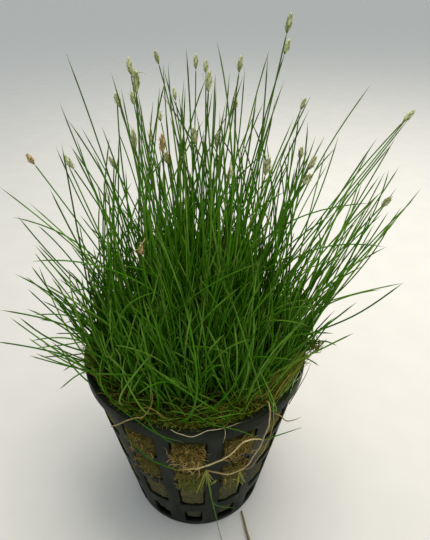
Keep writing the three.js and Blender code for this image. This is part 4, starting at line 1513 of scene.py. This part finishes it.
@dataclass
class Tuft:
    """One tuft of the grass: plantlets that fill its zone, and its share of the named blades."""

    name: str
    bearing: float
    inner: float
    outer: float
    crown: float
    half_turn: float
    fountain: Fountain
    sight: Sight
    plantlets: int
    scarcity: float
    longest: Pair
    stalks: list[Row] = field(default_factory=list)
    ripe: list[Row] = field(default_factory=list)
    blades: list[Row] = field(default_factory=list)
    drooping: list[Row] = field(default_factory=list)
    singled: list[Blade] = field(default_factory=list)
    shoots: tuple[int, int] = (6, 12)
    crown_radius: float = 2.6
    edge_radius: float = 23.4
    thick: float = 0.22
    fine: float = 0.13
    front_bare: float = 0.2
    front_thinned: float = 0.5
    stunted: float = 0.4
    shortest: float = 9.0
    side_loss: float = 0.3
    back_growth: float = 0.06
    lean_scatter: float = 4.0
    foot_scatter: float = 0.45
    shoot_girths: Pair = (0.7, 1.1)
    blade_girths: Pair = (0.8, 1.05)
    fan: float = 8.0
    bend_kept: float = 0.6
    bend_scatter: float = 10.0
    arcs: float = 0.14
    short_steps: int = 9
    long_steps: int = 13
    long_from: float = 22.0
    bend_length: float = 35.0
    arc_bends: Pair = (25.0, 75.0)
    sway: float = 0.9
    blade_steps: int = 16
    blade_sides: int = 5
    rim_place: Pair = (23.4, 51.4)
    droop_height: float = 52.6
    stalk_radii: Pair = (0.21, 0.13)
    head_lengths: Pair = (2.5, 3.4)
    head_radii: Pair = (0.42, 0.56)
    leans: Four = (4.0, 8.0, 2.0, 10.0)
    reach: float = 34.0
    front_reach: float = 28.0

    def holds(self, bearing: float, spread: float) -> bool:
        """Whether a bearing and a spread are in the tuft's share."""
        near = abs(bearing_gap(bearing, self.bearing)) <= self.half_turn
        return near and self.inner <= spread < self.outer

    def _place(self, rng: Chance) -> Points:
        """A place for a plantlet in the tuft's zone."""
        low = self.fountain.root_radius * self.inner
        high = min(self.fountain.root_radius * self.outer, self.edge_radius)
        radius = math.sqrt(rng.uniform(low**2, high**2))
        turn = rng.uniform(-1, 1) * (self.half_turn if self.inner else 180)
        place = polar(self.bearing + turn, radius, self.fountain.root_height - 0.6)
        place[:2] *= 1 - self.front_bare * max(0.0, -place[1] / self.edge_radius) ** 3
        return place

    def _root(self, rng: Chance) -> Points:
        """A place in the crown for the root of a named blade."""
        radius = self.crown_radius * math.sqrt(rng.uniform(0, 1))
        centre = polar(self.bearing, self.fountain.root_radius * self.crown, self.fountain.root_height)
        place = centre + polar(rng.uniform(0, 360), radius, 0)
        place[:2] *= min(1.0, self.edge_radius / max(math.hypot(place[0], place[1]), 0.1))
        return place

    def _lean(self, place: Points) -> Points:
        """How far plantlets lean along X and Y at a place, in degrees."""
        left, right, front, back = self.leans
        x, y = place[:2] / self.fountain.root_radius
        return np.array([x * (right if x > 0 else left), y * (back if y > 0 else front)])

    def _shoot(self, foot: Points, lean: Points, rng: Chance) -> Points:
        """The centreline of a blade that grows from a plantlet.

        Args:
            foot: Where it roots.
            lean: How far its plantlet leans along X and Y, in degrees.
            rng: Source of chance.

        Returns:
            The points.
        """
        x, y = foot[:2] / self.fountain.root_radius
        most = rng.uniform(*self.longest) * (1 - self.side_loss * abs(x) + self.back_growth * y)
        length = mix(self.shortest, most, rng.uniform() ** self.scarcity)
        steps = self.short_steps if length < self.long_from else self.long_steps
        start = lean + rng.normal(0, self.fan, 2)
        bend = self.bend_kept * start + rng.normal(0, self.bend_scatter, 2)
        if rng.uniform() < self.arcs:
            bend = bend + start / np.linalg.norm(start) * rng.uniform(*self.arc_bends)
        shares = (np.arange(steps) + 0.5)[:, None] / steps
        tilt = np.radians(start + shares**1.4 * bend * length / self.bend_length)
        size = np.linalg.norm(tilt, axis=1)[:, None] + 1e-6
        heading = np.concatenate([tilt / size * np.sin(size), np.cos(size)], axis=1)
        path = np.concatenate([[foot], foot + np.cumsum(heading * length / steps, axis=0)])
        path = self._swayed(path, 0.02 * length, rng)
        out = path[:, :2] - path[0, :2]
        room = self.reach - math.hypot(path[0, 0], path[0, 1])
        front_room = self.front_reach + path[0, 1]
        over = max(1.0, np.linalg.norm(out, axis=1).max() / room, -out[:, 1].min() / front_room)
        path[:, :2] -= out * (1 - 1 / over)
        return foot + (path - foot) * max(self.stunted, self.sight.before_opening(path))

    def _towards(self, row: Row, root: Points) -> Points:
        """The centreline of a blade from its root to a named tip.

        Args:
            row: The tip's bearing and spread, and the blade's length.
            root: Where it roots.

        Returns:
            The points.
        """
        bearing, spread, length = row
        steps = self.blade_steps
        turn = bearing_gap(bearing, self.bearing)
        points = []
        for k in range(steps + 1):
            t = k / steps
            eased = t**0.8
            here = self.bearing + turn * mix(0.3, 1, eased)
            points.append(self.fountain.at(here, mix(self.crown, spread, eased), t * length))
        path = np.array(points)
        shares = np.linspace(0, 1, steps + 1)[:, None]
        return path + (root - path[0]) * (1 - shares) ** 2

    def _swayed(self, path: Points, amount: float, rng: Chance) -> Points:
        """A path with a slight irregular bend, its ends kept."""
        shares = np.linspace(0, 1, len(path))[:, None]
        once, twice = rng.normal(0, amount, 3), rng.normal(0, 0.5 * amount, 3)
        return path + once * np.sin(math.pi * shares) + twice * np.sin(2 * math.pi * shares)

    def _named(self, row: Row, rng: Chance) -> Points:
        """The centreline of a named blade or stalk, from a place in the crown and slightly swayed."""
        return self._swayed(self._towards(row, self._root(rng)), self.sway, rng)

    def _drooping_path(self, row: Row, rng: Chance) -> Points:
        """The centreline of a blade that droops over the rim."""
        bearing, reach, height = row
        turn = bearing_gap(bearing, self.bearing)
        rim, over_rim = self.rim_place
        return smooth_route([
            self._root(rng),
            polar(self.bearing + 0.8 * turn, rim, over_rim),
            polar(bearing, (rim + reach) / 2, self.droop_height),
            polar(bearing, reach, height),
        ], 14)

    def _profile(self, thick: float, count: int) -> Points:
        """Radii at the points along a blade, which thins all the way and ends in a point."""
        shares = np.linspace(0, 1, count)
        return mix(thick, min(self.fine, 0.8 * thick), shares) * np.minimum(1, 0.3 + (1 - shares) * 11)

    def _add_blade(self, bundle: Bundle, path: Points, thick: float, tone: float) -> None:
        """Adds one blade along a centreline."""
        bundle.tube(path, self._profile(thick, len(path)), self.blade_sides, tone)

    def build(self, materials: Finishes, rng: Chance) -> bpy.types.Object:
        """Makes the tuft.

        Args:
            materials: The leaf's and the spikelets' finishes.
            rng: Source of chance.

        Returns:
            The tuft.
        """
        bundle = Bundle()
        for _ in range(self.plantlets):
            place = self._place(rng)
            if rng.uniform() < self.front_thinned * max(0.0, -place[1] / self.edge_radius):
                continue
            lean = self._lean(place) + rng.normal(0, self.lean_scatter, 2)
            for _ in range(rng.integers(*self.shoots)):
                foot = place + np.append(rng.normal(0, self.foot_scatter, 2), 0)
                path = self._shoot(foot, lean, rng)
                self._add_blade(bundle, path, self.thick * rng.uniform(*self.shoot_girths), some_tone(rng))
        for row in self.blades:
            path = self._named(row, rng)
            self._add_blade(bundle, path, self.thick * rng.uniform(*self.blade_girths), some_tone(rng))
        for row in self.drooping:
            self._add_blade(bundle, self._drooping_path(row, rng), self.thick, some_tone(rng))
        for blade in self.singled:
            self._add_blade(bundle, blade.course, blade.radius, blade.tone)
        for row in self.stalks:
            self._add_stalk(bundle, row, 1, rng)
        for row in self.ripe:
            self._add_stalk(bundle, row, 2, rng)
        return bundle.piece(self.name.replace("hairgrass", "grass"), materials, "leaf", self.name)

    def _add_stalk(self, bundle: Bundle, row: Row, finish: int, rng: Chance) -> None:
        """Adds a stalk with its flower head.

        Args:
            bundle: Where it goes.
            row: Bearing and spread of its tip, and its length.
            finish: Number of the head's finish.
            rng: Source of chance.
        """
        path = self._named(row, rng)
        along = unit(path[-1] - path[-2])
        length, radius = rng.uniform(*self.head_lengths), rng.uniform(*self.head_radii)
        head = Spikelet(length, radius, finish=finish)
        head.add_to(bundle, path[-1], along, rng, int(rng.integers(0, 4)))
        path[-1] = path[-1] - along * (head.length - 0.3)
        bundle.tube(path, np.linspace(*self.stalk_radii, len(path)), self.blade_sides, rng.uniform(0.3, 0.6))


@dataclass
class Grass:
    """All the tufts, in rings from the middle of the pot to its edge.

    A ring has its inner and outer spread, its crowns' spread and its number of tufts. Its growth is
    each tuft's plantlets, how scarce long blades are and the lengths of the longest.
    """

    pot: NetPot
    sight: Sight
    fountain: Fountain = field(default_factory=Fountain)
    rings: tuple[tuple[float, float, float, int], ...] = (
        (0.0, 0.16, 0.0, 1),
        (0.16, 0.44, 0.31, 6),
        (0.44, 0.74, 0.6, 10),
        (0.74, 1.2, 0.87, 13),
    )
    growth: tuple[tuple[int, float, Pair], ...] = (
        (10, 1.1, (32.0, 46.0)),
        (9, 1.1, (32.0, 46.0)),
        (9, 1.1, (31.0, 45.0)),
        (8, 0.7, (26.0, 42.0)),
    )
    root_limit: float = 22.0
    root_scatter: float = 5.0
    stray_share: float = 0.3
    stray_spread: float = 1.9
    opening_kept: float = 0.85
    room: Four = (-37.2, 47.6, -29.6, 36.8)
    lying: float = 0.12
    hooked: float = 0.14
    standing: float = 0.28
    single: float = 0.24
    sheaf_radii: Pair = (0.17, 0.24)
    bow: float = 0.45
    least_grown: float = 0.62
    rise: float = 0.52

    def _singled(self, rng: Chance) -> list[Blade]:
        """The blades that keep to a course of their own."""
        blades = [
            Blade(self.pot.along_wall(rows, 22), self.lying, rng.uniform(0.05, 0.3))
            for rows in LYING_BLADES
        ]
        # The hooked and front blades take the palest tones, partly their own tone and partly a painted
        # highlight
        for group, radius in ((HOOKED_BLADES, self.hooked), (FRONT_BLADES, self.standing)):
            for rows in group:
                route = smooth_route(self.sight.route(rows), 18)
                blades.append(Blade(route, radius * rng.uniform(0.8, 1.1), rng.uniform(0.75, 1)))
        for x, y, column, row, depth, right, up in SINGLE_BLADES:
            root = np.array([x, y, self.fountain.root_height])
            tip = self.sight.at_depth(column, row, depth)
            bow = np.array([right, 0, up])
            blades.append(Blade(self._arched(root, tip, bow, 1.0), self.single, rng.uniform(0.3, 0.8)))
        for sheaf in SHEAVES:
            blades.extend(self._sheaf(sheaf, rng))
        return blades

    def _within(self, course: Points) -> Points:
        """A course whose way sideways is shortened where it would leave the plant's room."""
        left, right, front, back = self.room
        out = course[:, :2] - course[0, :2]
        x, y = course[0, :2]
        over = max(
            1.0, out[:, 0].min() / (left - x), out[:, 0].max() / (right - x),
            out[:, 1].min() / (front - y), out[:, 1].max() / (back - y),
        )
        kept = course.copy()
        kept[:, :2] -= out * (1 - 1 / over)
        return kept

    def _arched(self, root: Points, tip: Points, bow: Points, share: float, early: float = 0.25) -> Points:
        """The centreline of a blade that rises steeply and bends towards its tip.

        Args:
            root: Where it roots.
            tip: Where it would end if it were full grown.
            bow: How far its middle is out of the usual curve.
            share: How much of the way to the tip it has grown.
            early: How much of the way sideways its first half leads, 0.5 where it is straight.

        Returns:
            The points.
        """
        way = tip - root
        turn = root + way * np.array([early, early, self.rise]) + 2 * bow
        t = np.linspace(0, share, 17)[:, None]
        return (1 - t) ** 2 * root + 2 * t * (1 - t) * turn + t**2 * tip

    def _sheaf(self, sheaf: Sheaf, rng: Chance) -> list[Blade]:
        """The blades of a sheaf."""
        blades = []
        end = self.sight.at_depth(*sheaf.tip, sheaf.depth)
        for _ in range(sheaf.blades):
            root = np.array([*sheaf.root, self.fountain.root_height])
            root[:2] += rng.normal(0, self.root_scatter, 2)
            root[:2] *= min(1.0, self.root_limit / math.hypot(root[0], root[1]))
            spread = sheaf.scatter * (self.stray_spread if rng.uniform() < self.stray_share else 1)
            tip = end + rng.normal(0, spread, 3) * np.array([1, 1, 0.5])
            bow = rng.normal(0, self.bow * sheaf.scatter, 3)
            grown = rng.uniform(self.least_grown, 1) ** 0.8
            course = self._within(self._arched(root, tip, bow, grown, sheaf.early))
            if rng.uniform() < self.opening_kept and self.sight.before_opening(course) < 1:
                continue
            blades.append(Blade(course, rng.uniform(*self.sheaf_radii), some_tone(rng)))
        return blades

    def _planted(self, rng: Chance) -> list[Tuft]:
        """The tufts, each with its share of the named stalks and blades."""
        tufts: list[Tuft] = []
        for level, ((inner, outer, crown, count), habit) in enumerate(zip(self.rings, self.growth)):
            for i in range(count):
                name = f"hairgrass_tuft_{len(tufts) + 1:02d}"
                bearing = FRONT + 360 * (i + 0.5 * (level % 2)) / count
                zone = (bearing, inner, outer, crown, 180 / count)
                tufts.append(Tuft(name, *zone, self.fountain, self.sight, *habit))

        def owner(bearing: float, spread: float) -> Tuft:
            """The tuft in whose share a place is."""
            return next(tuft for tuft in tufts if tuft.holds(bearing, spread))

        for row in STALKS:
            owner(*row[:2]).stalks.append(row)
        for row in RIPE_STALKS:
            owner(*row[:2]).ripe.append(row)
        for row in LONG_BLADES:
            owner(*row[:2]).blades.append(row)
        for row in DROOPING_BLADES:
            owner(row[0], 1.0).drooping.append(row)
        for blade in self._singled(rng):
            x, y, _ = blade.course[0]
            bearing = math.degrees(math.atan2(y, x))
            owner(bearing, math.hypot(x, y) / self.fountain.root_radius).singled.append(blade)
        return tufts

    def build(self, rng: Chance) -> list[bpy.types.Object]:
        """Makes every tuft."""
        materials = [GREEN_LEAF.material(), SPIKELET_SCALE.material(), RIPE_SCALE.material()]
        return [tuft.build(materials, rng) for tuft in self._planted(rng)]


@dataclass
class RootMat:
    """A pad of fine roots that has grown out of one window."""

    name: str
    pot: NetPot
    column: int
    row: int
    bulge: float
    fibres: int
    rootlets: int
    green: float
    rootlet_top: float = 0.55
    pad_rows: int = 26
    pad_columns: int = 30
    sunk: float = 1.0
    fibre_lengths: Pair = (0.6, 2.2)
    fibre_radii: Pair = (0.04, 0.08)
    rootlet_lengths: Pair = (1.5, 3.6)
    rootlet_radii: Pair = (0.06, 0.1)

    def _bearing(self) -> float:
        """Bearing of the middle of the window."""
        return self.pot.first_column + self.column * 360 / self.pot.columns

    def _add_pad(self, bundle: Bundle) -> None:
        """Adds the matted body of the pad, from inside the window to its bulging face."""
        bottom, top, span = self.pot.rows[self.row]
        rows, columns = self.pad_rows, self.pad_columns
        points = np.zeros((rows, columns, 3))
        for r, t in enumerate(np.linspace(0, 1, rows)):
            for c, s in enumerate(np.linspace(-1, 1, columns)):
                height = mix(bottom + 0.2, top - 0.2, t)
                rim = max(abs(s) ** 7, abs(2 * t - 1) ** 7)
                place = Vector((s * 3 + self.column * 9, t * 4, self.row * 5))
                lumps = noise.fractal(place, 0.8, 2.2, 4)
                out = self.bulge * (0.42 + 0.35 * lumps) * (1 - rim) - self.sunk * rim
                turn = self._bearing() + s * (span / 2 - 0.1)
                points[r, c] = polar(turn, self.pot.wall_radius(height) + out, height)
        bundle.grid(points[:, ::-1], 0.5, np.ones((rows, columns)), 1)

    def _fibre(self, length: float, hang: float, top_share: float, rng: Chance) -> Points:
        """The centreline of a fibre that starts on the pad and lies near the wall.

        Args:
            length: Its length.
            hang: How much it hangs down, from 0 to 1.
            top_share: How far up the window fibres start, from 0 to 1.
            rng: Source of chance.

        Returns:
            The points.
        """
        bottom, top, span = self.pot.rows[self.row]
        turn = self._bearing() + rng.uniform(-0.5, 0.5) * (span - 3)
        height = mix(bottom - 0.2, mix(bottom, top - 0.4, top_share), rng.uniform(0, 1) ** 0.85)
        out = self.bulge * rng.uniform(0.1, 0.75)
        start = polar(turn, self.pot.wall_radius(height) + out, height)
        sideways = polar(turn + 90, 1, 0)
        upright = np.array([0, 0, 1.0])
        angle = rng.uniform(0, 2 * math.pi)
        heading = math.cos(angle) * sideways + math.sin(angle) * upright * 0.8
        heading = mix(heading, -upright + 0.25 * sideways * rng.normal(0, 1), hang)
        heading = unit(heading + polar(turn, rng.normal(0.05, 0.25), 0))
        across = np.cross(heading, polar(turn, 1, 0))
        t = np.linspace(0, 1, 8)[:, None]
        curl = across * rng.normal(0, 0.45) * np.sin(math.pi * t) + rng.normal(0, 0.14, 3) * np.sin(7 * t)
        return self.pot.outside(start + heading * length * t + curl, 0.12)

    def build(self, materials: Finishes, rng: Chance) -> bpy.types.Object:
        """Makes the pad.

        Args:
            materials: The roots' and the wool's finishes, and the young shoots'.
            rng: Source of chance.

        Returns:
            The pad.
        """
        bundle = Bundle()
        self._add_pad(bundle)
        for _ in range(self.fibres):
            greenish = rng.uniform() < self.green
            length = rng.uniform(*self.fibre_lengths)
            hang = 0.85 if greenish else rng.uniform(0.1, 0.7)
            path = self._fibre(length, hang, 1.0, rng)
            tone = rng.uniform(0, 0.55) if greenish else 0.7 * rng.uniform(0, 1) ** 2
            bundle.strand(path, rng.uniform(*self.fibre_radii), 3, tone, finish=2 if greenish else 0)
        for _ in range(self.rootlets):
            length = rng.uniform(*self.rootlet_lengths)
            path = self._fibre(length, rng.uniform(0, 0.35), self.rootlet_top, rng)
            bundle.strand(path, rng.uniform(*self.rootlet_radii), 5, rng.uniform(0.4, 1))
        name = "roots_" + self.name.removeprefix("root_mat_")
        return bundle.piece(name, materials, "root", self.name)


@dataclass
class Runners:
    """The runners, their plantlets and the blades that trail from them."""

    pot: NetPot
    sight: Sight
    radius: float = 0.2
    left_radius: float = 0.14
    side_radius: float = 0.13
    rim_radius: float = 0.075
    inner_radius: float = 0.085
    hanging_radius: float = 0.06
    stem_radii: Pair = (0.24, 0.44)
    shoot_radii: Pair = (0.1, 0.15)
    shoot_gap: float = 0.35
    wall_gap: float = 0.9

    def _front(self, bundle: Bundle, rng: Chance) -> None:
        """Adds the pale runner across the front, with the blade to its left."""
        route = self.pot.along_wall(FRONT_RUNNER, 42)
        bundle.strand(self._crooked(route, rng), 0.88 * self.radius, 8, 1.0, Ending.BLUNT)
        leaf = self.pot.along_wall(FRONT_RUNNER_BLADE, 26)
        bundle.strand(leaf, 0.75 * self.radius, 6, 0.35, finish=1)

    def _right(self, bundle: Bundle, rng: Chance) -> None:
        """Adds the runner to the right rim, with its side blade and the blade that trails down."""
        for rows, share, tone in ((RIGHT_RUNNER, 0.85, 0.75), (SECOND_STRAND, 0.5, 0.5)):
            route = self.pot.along_wall(rows, 60)
            bundle.strand(self._crooked(route, rng), share * self.radius, 8, tone, Ending.BLUNT)
        side = self.pot.along_wall(RIGHT_RUNNER_BLADE, 14)
        bundle.strand(side, 0.6 * self.radius, 6, 0.4, finish=1)
        trail = route_about_axis(TRAILING_BLADE, 44)
        bundle.strand(trail, 0.7 * self.radius, 6, 0.6, finish=1)
        for places, share, tone, finish in ((TRAILING_LOOP, 0.45, 0.7, 1), (TRAILING_BUD, 1.2, 1.0, 2)):
            route = smooth_route([self._on_wall(column, row) for column, row in places], 14)
            bundle.strand(route, share * self.radius, 5, tone, finish=finish)

    def _on_wall(self, column: float, row: float) -> Points:
        """Where a line of sight through the photo comes nearest to lying on the pot's wall.

        Args:
            column: Column in the photo.
            row: Row in the photo.

        Returns:
            The point.
        """
        heights = np.arange(0.8, 50, 0.1)
        points = np.array([self.sight.at_height(column, row, height) for height in heights])
        off = np.hypot(points[:, 0], points[:, 1]) - self.pot.wall_radius(heights) - self.wall_gap
        front = np.where(points[:, 1] < 0, np.abs(off), np.inf)
        return points[int(np.argmin(front))]

    def _crooked(self, route: Points, rng: Chance) -> Points:
        """A route with small irregular bends."""
        phase = rng.uniform(0, 6, 3)
        steps = np.arange(len(route))[:, None]
        return route + 0.06 * np.sin(steps * 0.5 + phase) + 0.03 * np.sin(steps * 1.3 + phase)

    def _plantlet(self, bundle: Bundle, root: Row, count: int, reach: float, rng: Chance) -> None:
        """Adds the short shoots of a plantlet.

        Args:
            bundle: Where they go.
            root: Where the plantlet sits, as bearing, distance from the wall and height.
            count: How many shoots it has.
            reach: The length of the longest.
            rng: Source of chance.
        """
        bearing, outset, height = root
        start = polar(bearing, self.pot.wall_radius(height) + outset, height)
        for _ in range(count):
            heading = unit(polar(bearing + rng.normal(0, 50), 0.4, -1.1 + rng.normal(0, 0.25)))
            t = np.linspace(0, 1, 6)[:, None]
            length = reach * rng.uniform(0.45, 1)
            path = start + heading * length * t + rng.normal(0, 0.25, 3) * t**2
            path = self.pot.outside(path, self.shoot_gap)
            bundle.strand(path, rng.uniform(*self.shoot_radii), 5, rng.uniform(0.3, 1), finish=2)

    def build(self, rng: Chance) -> list[bpy.types.Object]:
        """Makes the runners.

        Args:
            rng: Source of chance.

        Returns:
            The runners, the root on the rim and the stem on the table.
        """
        finishes = [RUNNER_SKIN.material(), GREEN_LEAF.material(), YOUNG_SHOOT.material()]
        rim_finishes = [RUNNER_SKIN.material(), WHITE_ROOT.material()]
        front = Bundle()
        self._front(front, rng)
        right = Bundle()
        self._right(right, rng)
        for root, count, reach in PLANTLETS:
            self._plantlet(right, root, count, reach, rng)
        right.strand(self.pot.along_wall(SIDE_ROOT, 16), self.side_radius, 5, 0.2)
        left = Bundle()
        left_route = self._crooked(self.pot.along_wall(LEFT_RUNNER, 30), rng)
        left.strand(left_route, self.left_radius, 6, 0.3, Ending.BLUNT)
        rim = Bundle()
        rim.strand(self.pot.along_wall(RIM_ROOT, 40), self.rim_radius, 6, 0.5, finish=1)
        rim.strand(self.pot.along_wall(HANGING_ROOT, 12), self.hanging_radius, 5, 0.8)
        for rows in INNER_ROOTS:
            rim.strand(route_about_axis(rows, 14), self.inner_radius, 5, 1.0, finish=1)
        stem = Bundle()
        stem_route = route_about_axis(TABLE_STEM, 20)
        stem.tube(stem_route, np.linspace(*self.stem_radii, len(stem_route)), 8, 0.6)
        return [
            front.piece("pale_runner", finishes, "root", "runner_front"),
            right.piece("tan_runner", finishes, "root", "runner_right"),
            left.piece("left_hanging_runner", finishes, "root", "runner_left"),
            rim.piece("root_on_rim", rim_finishes, "root", "rim_root"),
            stem.piece("brown_stem", [BROWN_STEM.material()], "dead_stem", "table_stem"),
        ]


@dataclass
class Studio:
    """The pale table, the soft light and the camera, which stands where the photo was taken."""

    sight: Sight
    table_half: float = 50.0
    room_colour: Row = (0.942, 1.0, 0.99)
    room_strength: float = 0.58
    lamp_place: Row = (95.0, 60.0, 490.0)
    lamp_aim: Row = (400.0, 380.0, 0.0)
    lamp_size: float = 340.0
    lamp_watts: float = 2.6
    lamp_colour: Row = (1.0, 0.91, 0.765)
    image_height: float = 540.0
    sensor: float = 36.0

    def build(self) -> None:
        """Sets the table, the lights and the camera."""
        self._table()
        self._lamp()
        world = bpy.data.worlds.new("room")
        world.use_nodes = True
        background = world.node_tree.nodes["Background"]
        background.inputs["Color"].default_value = (*self.room_colour, 1)
        background.inputs["Strength"].default_value = self.room_strength
        bpy.context.scene.world = world
        bpy.context.scene.view_settings.view_transform = "Standard"
        self._camera()

    def _table(self) -> None:
        """Adds the table's surface."""
        half = self.table_half
        mesh = bpy.data.meshes.new("table")
        corners = [(-half, -half, 0), (half, -half, 0), (half, half, 0), (-half, half, 0)]
        mesh.from_pydata(corners, [], [(0, 1, 2, 3)])
        mesh.materials.append(TableTop().material())
        table = bpy.data.objects.new("table", mesh)
        bpy.context.scene.collection.objects.link(table)

    def _lamp(self) -> None:
        """Adds the one soft lamp, up and to the right."""
        data = bpy.data.lights.new("soft_lamp", "AREA")
        data.size = self.lamp_size * METRES
        data.energy = self.lamp_watts
        data.color = self.lamp_colour
        light = bpy.data.objects.new("soft_lamp", data)
        light.location = Vector(self.lamp_place) * METRES
        aim = Vector(self.lamp_aim) - Vector(self.lamp_place)
        light.rotation_euler = aim.to_track_quat("-Z", "Y").to_euler()
        bpy.context.scene.collection.objects.link(light)

    def _camera(self) -> None:
        """Adds the camera."""
        right, up, ahead = (Vector(axis) for axis in self.sight.axes())
        data = bpy.data.cameras.new("camera")
        data.sensor_fit = "VERTICAL"
        data.sensor_height = self.sensor
        data.lens = self.sensor * self.sight.focal / self.image_height
        data.clip_start = 0.005
        data.clip_end = 200.0
        camera = bpy.data.objects.new("camera", data)
        turn = Matrix((right, up, -ahead)).transposed()
        camera.matrix_world = Matrix.Translation(Vector(self.sight.eye) * METRES) @ turn.to_4x4()
        bpy.context.scene.collection.objects.link(camera)
        bpy.context.scene.camera = camera


def main() -> None:
    """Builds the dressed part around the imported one."""
    logging.basicConfig(level=logging.INFO, format="%(name)s: %(message)s")
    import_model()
    rng = np.random.default_rng(SEED)
    sight = Sight()
    pot = NetPot()
    pot.build(PotPlastic())
    Plug(pot).build(Rockwool())
    Mat(pot, sight).build(Thatch(), rng)
    Grass(pot, sight).build(rng)
    pad_finishes = [PALE_ROOT.material(), MATTED_WOOL.material(), YOUNG_SHOOT.material()]
    for name, *habit in ROOT_MATS:
        RootMat(name, pot, *habit).build(pad_finishes, rng)
    Runners(pot, sight).build(rng)
    Studio(sight).build()


if __name__ == "__main__":
    main()
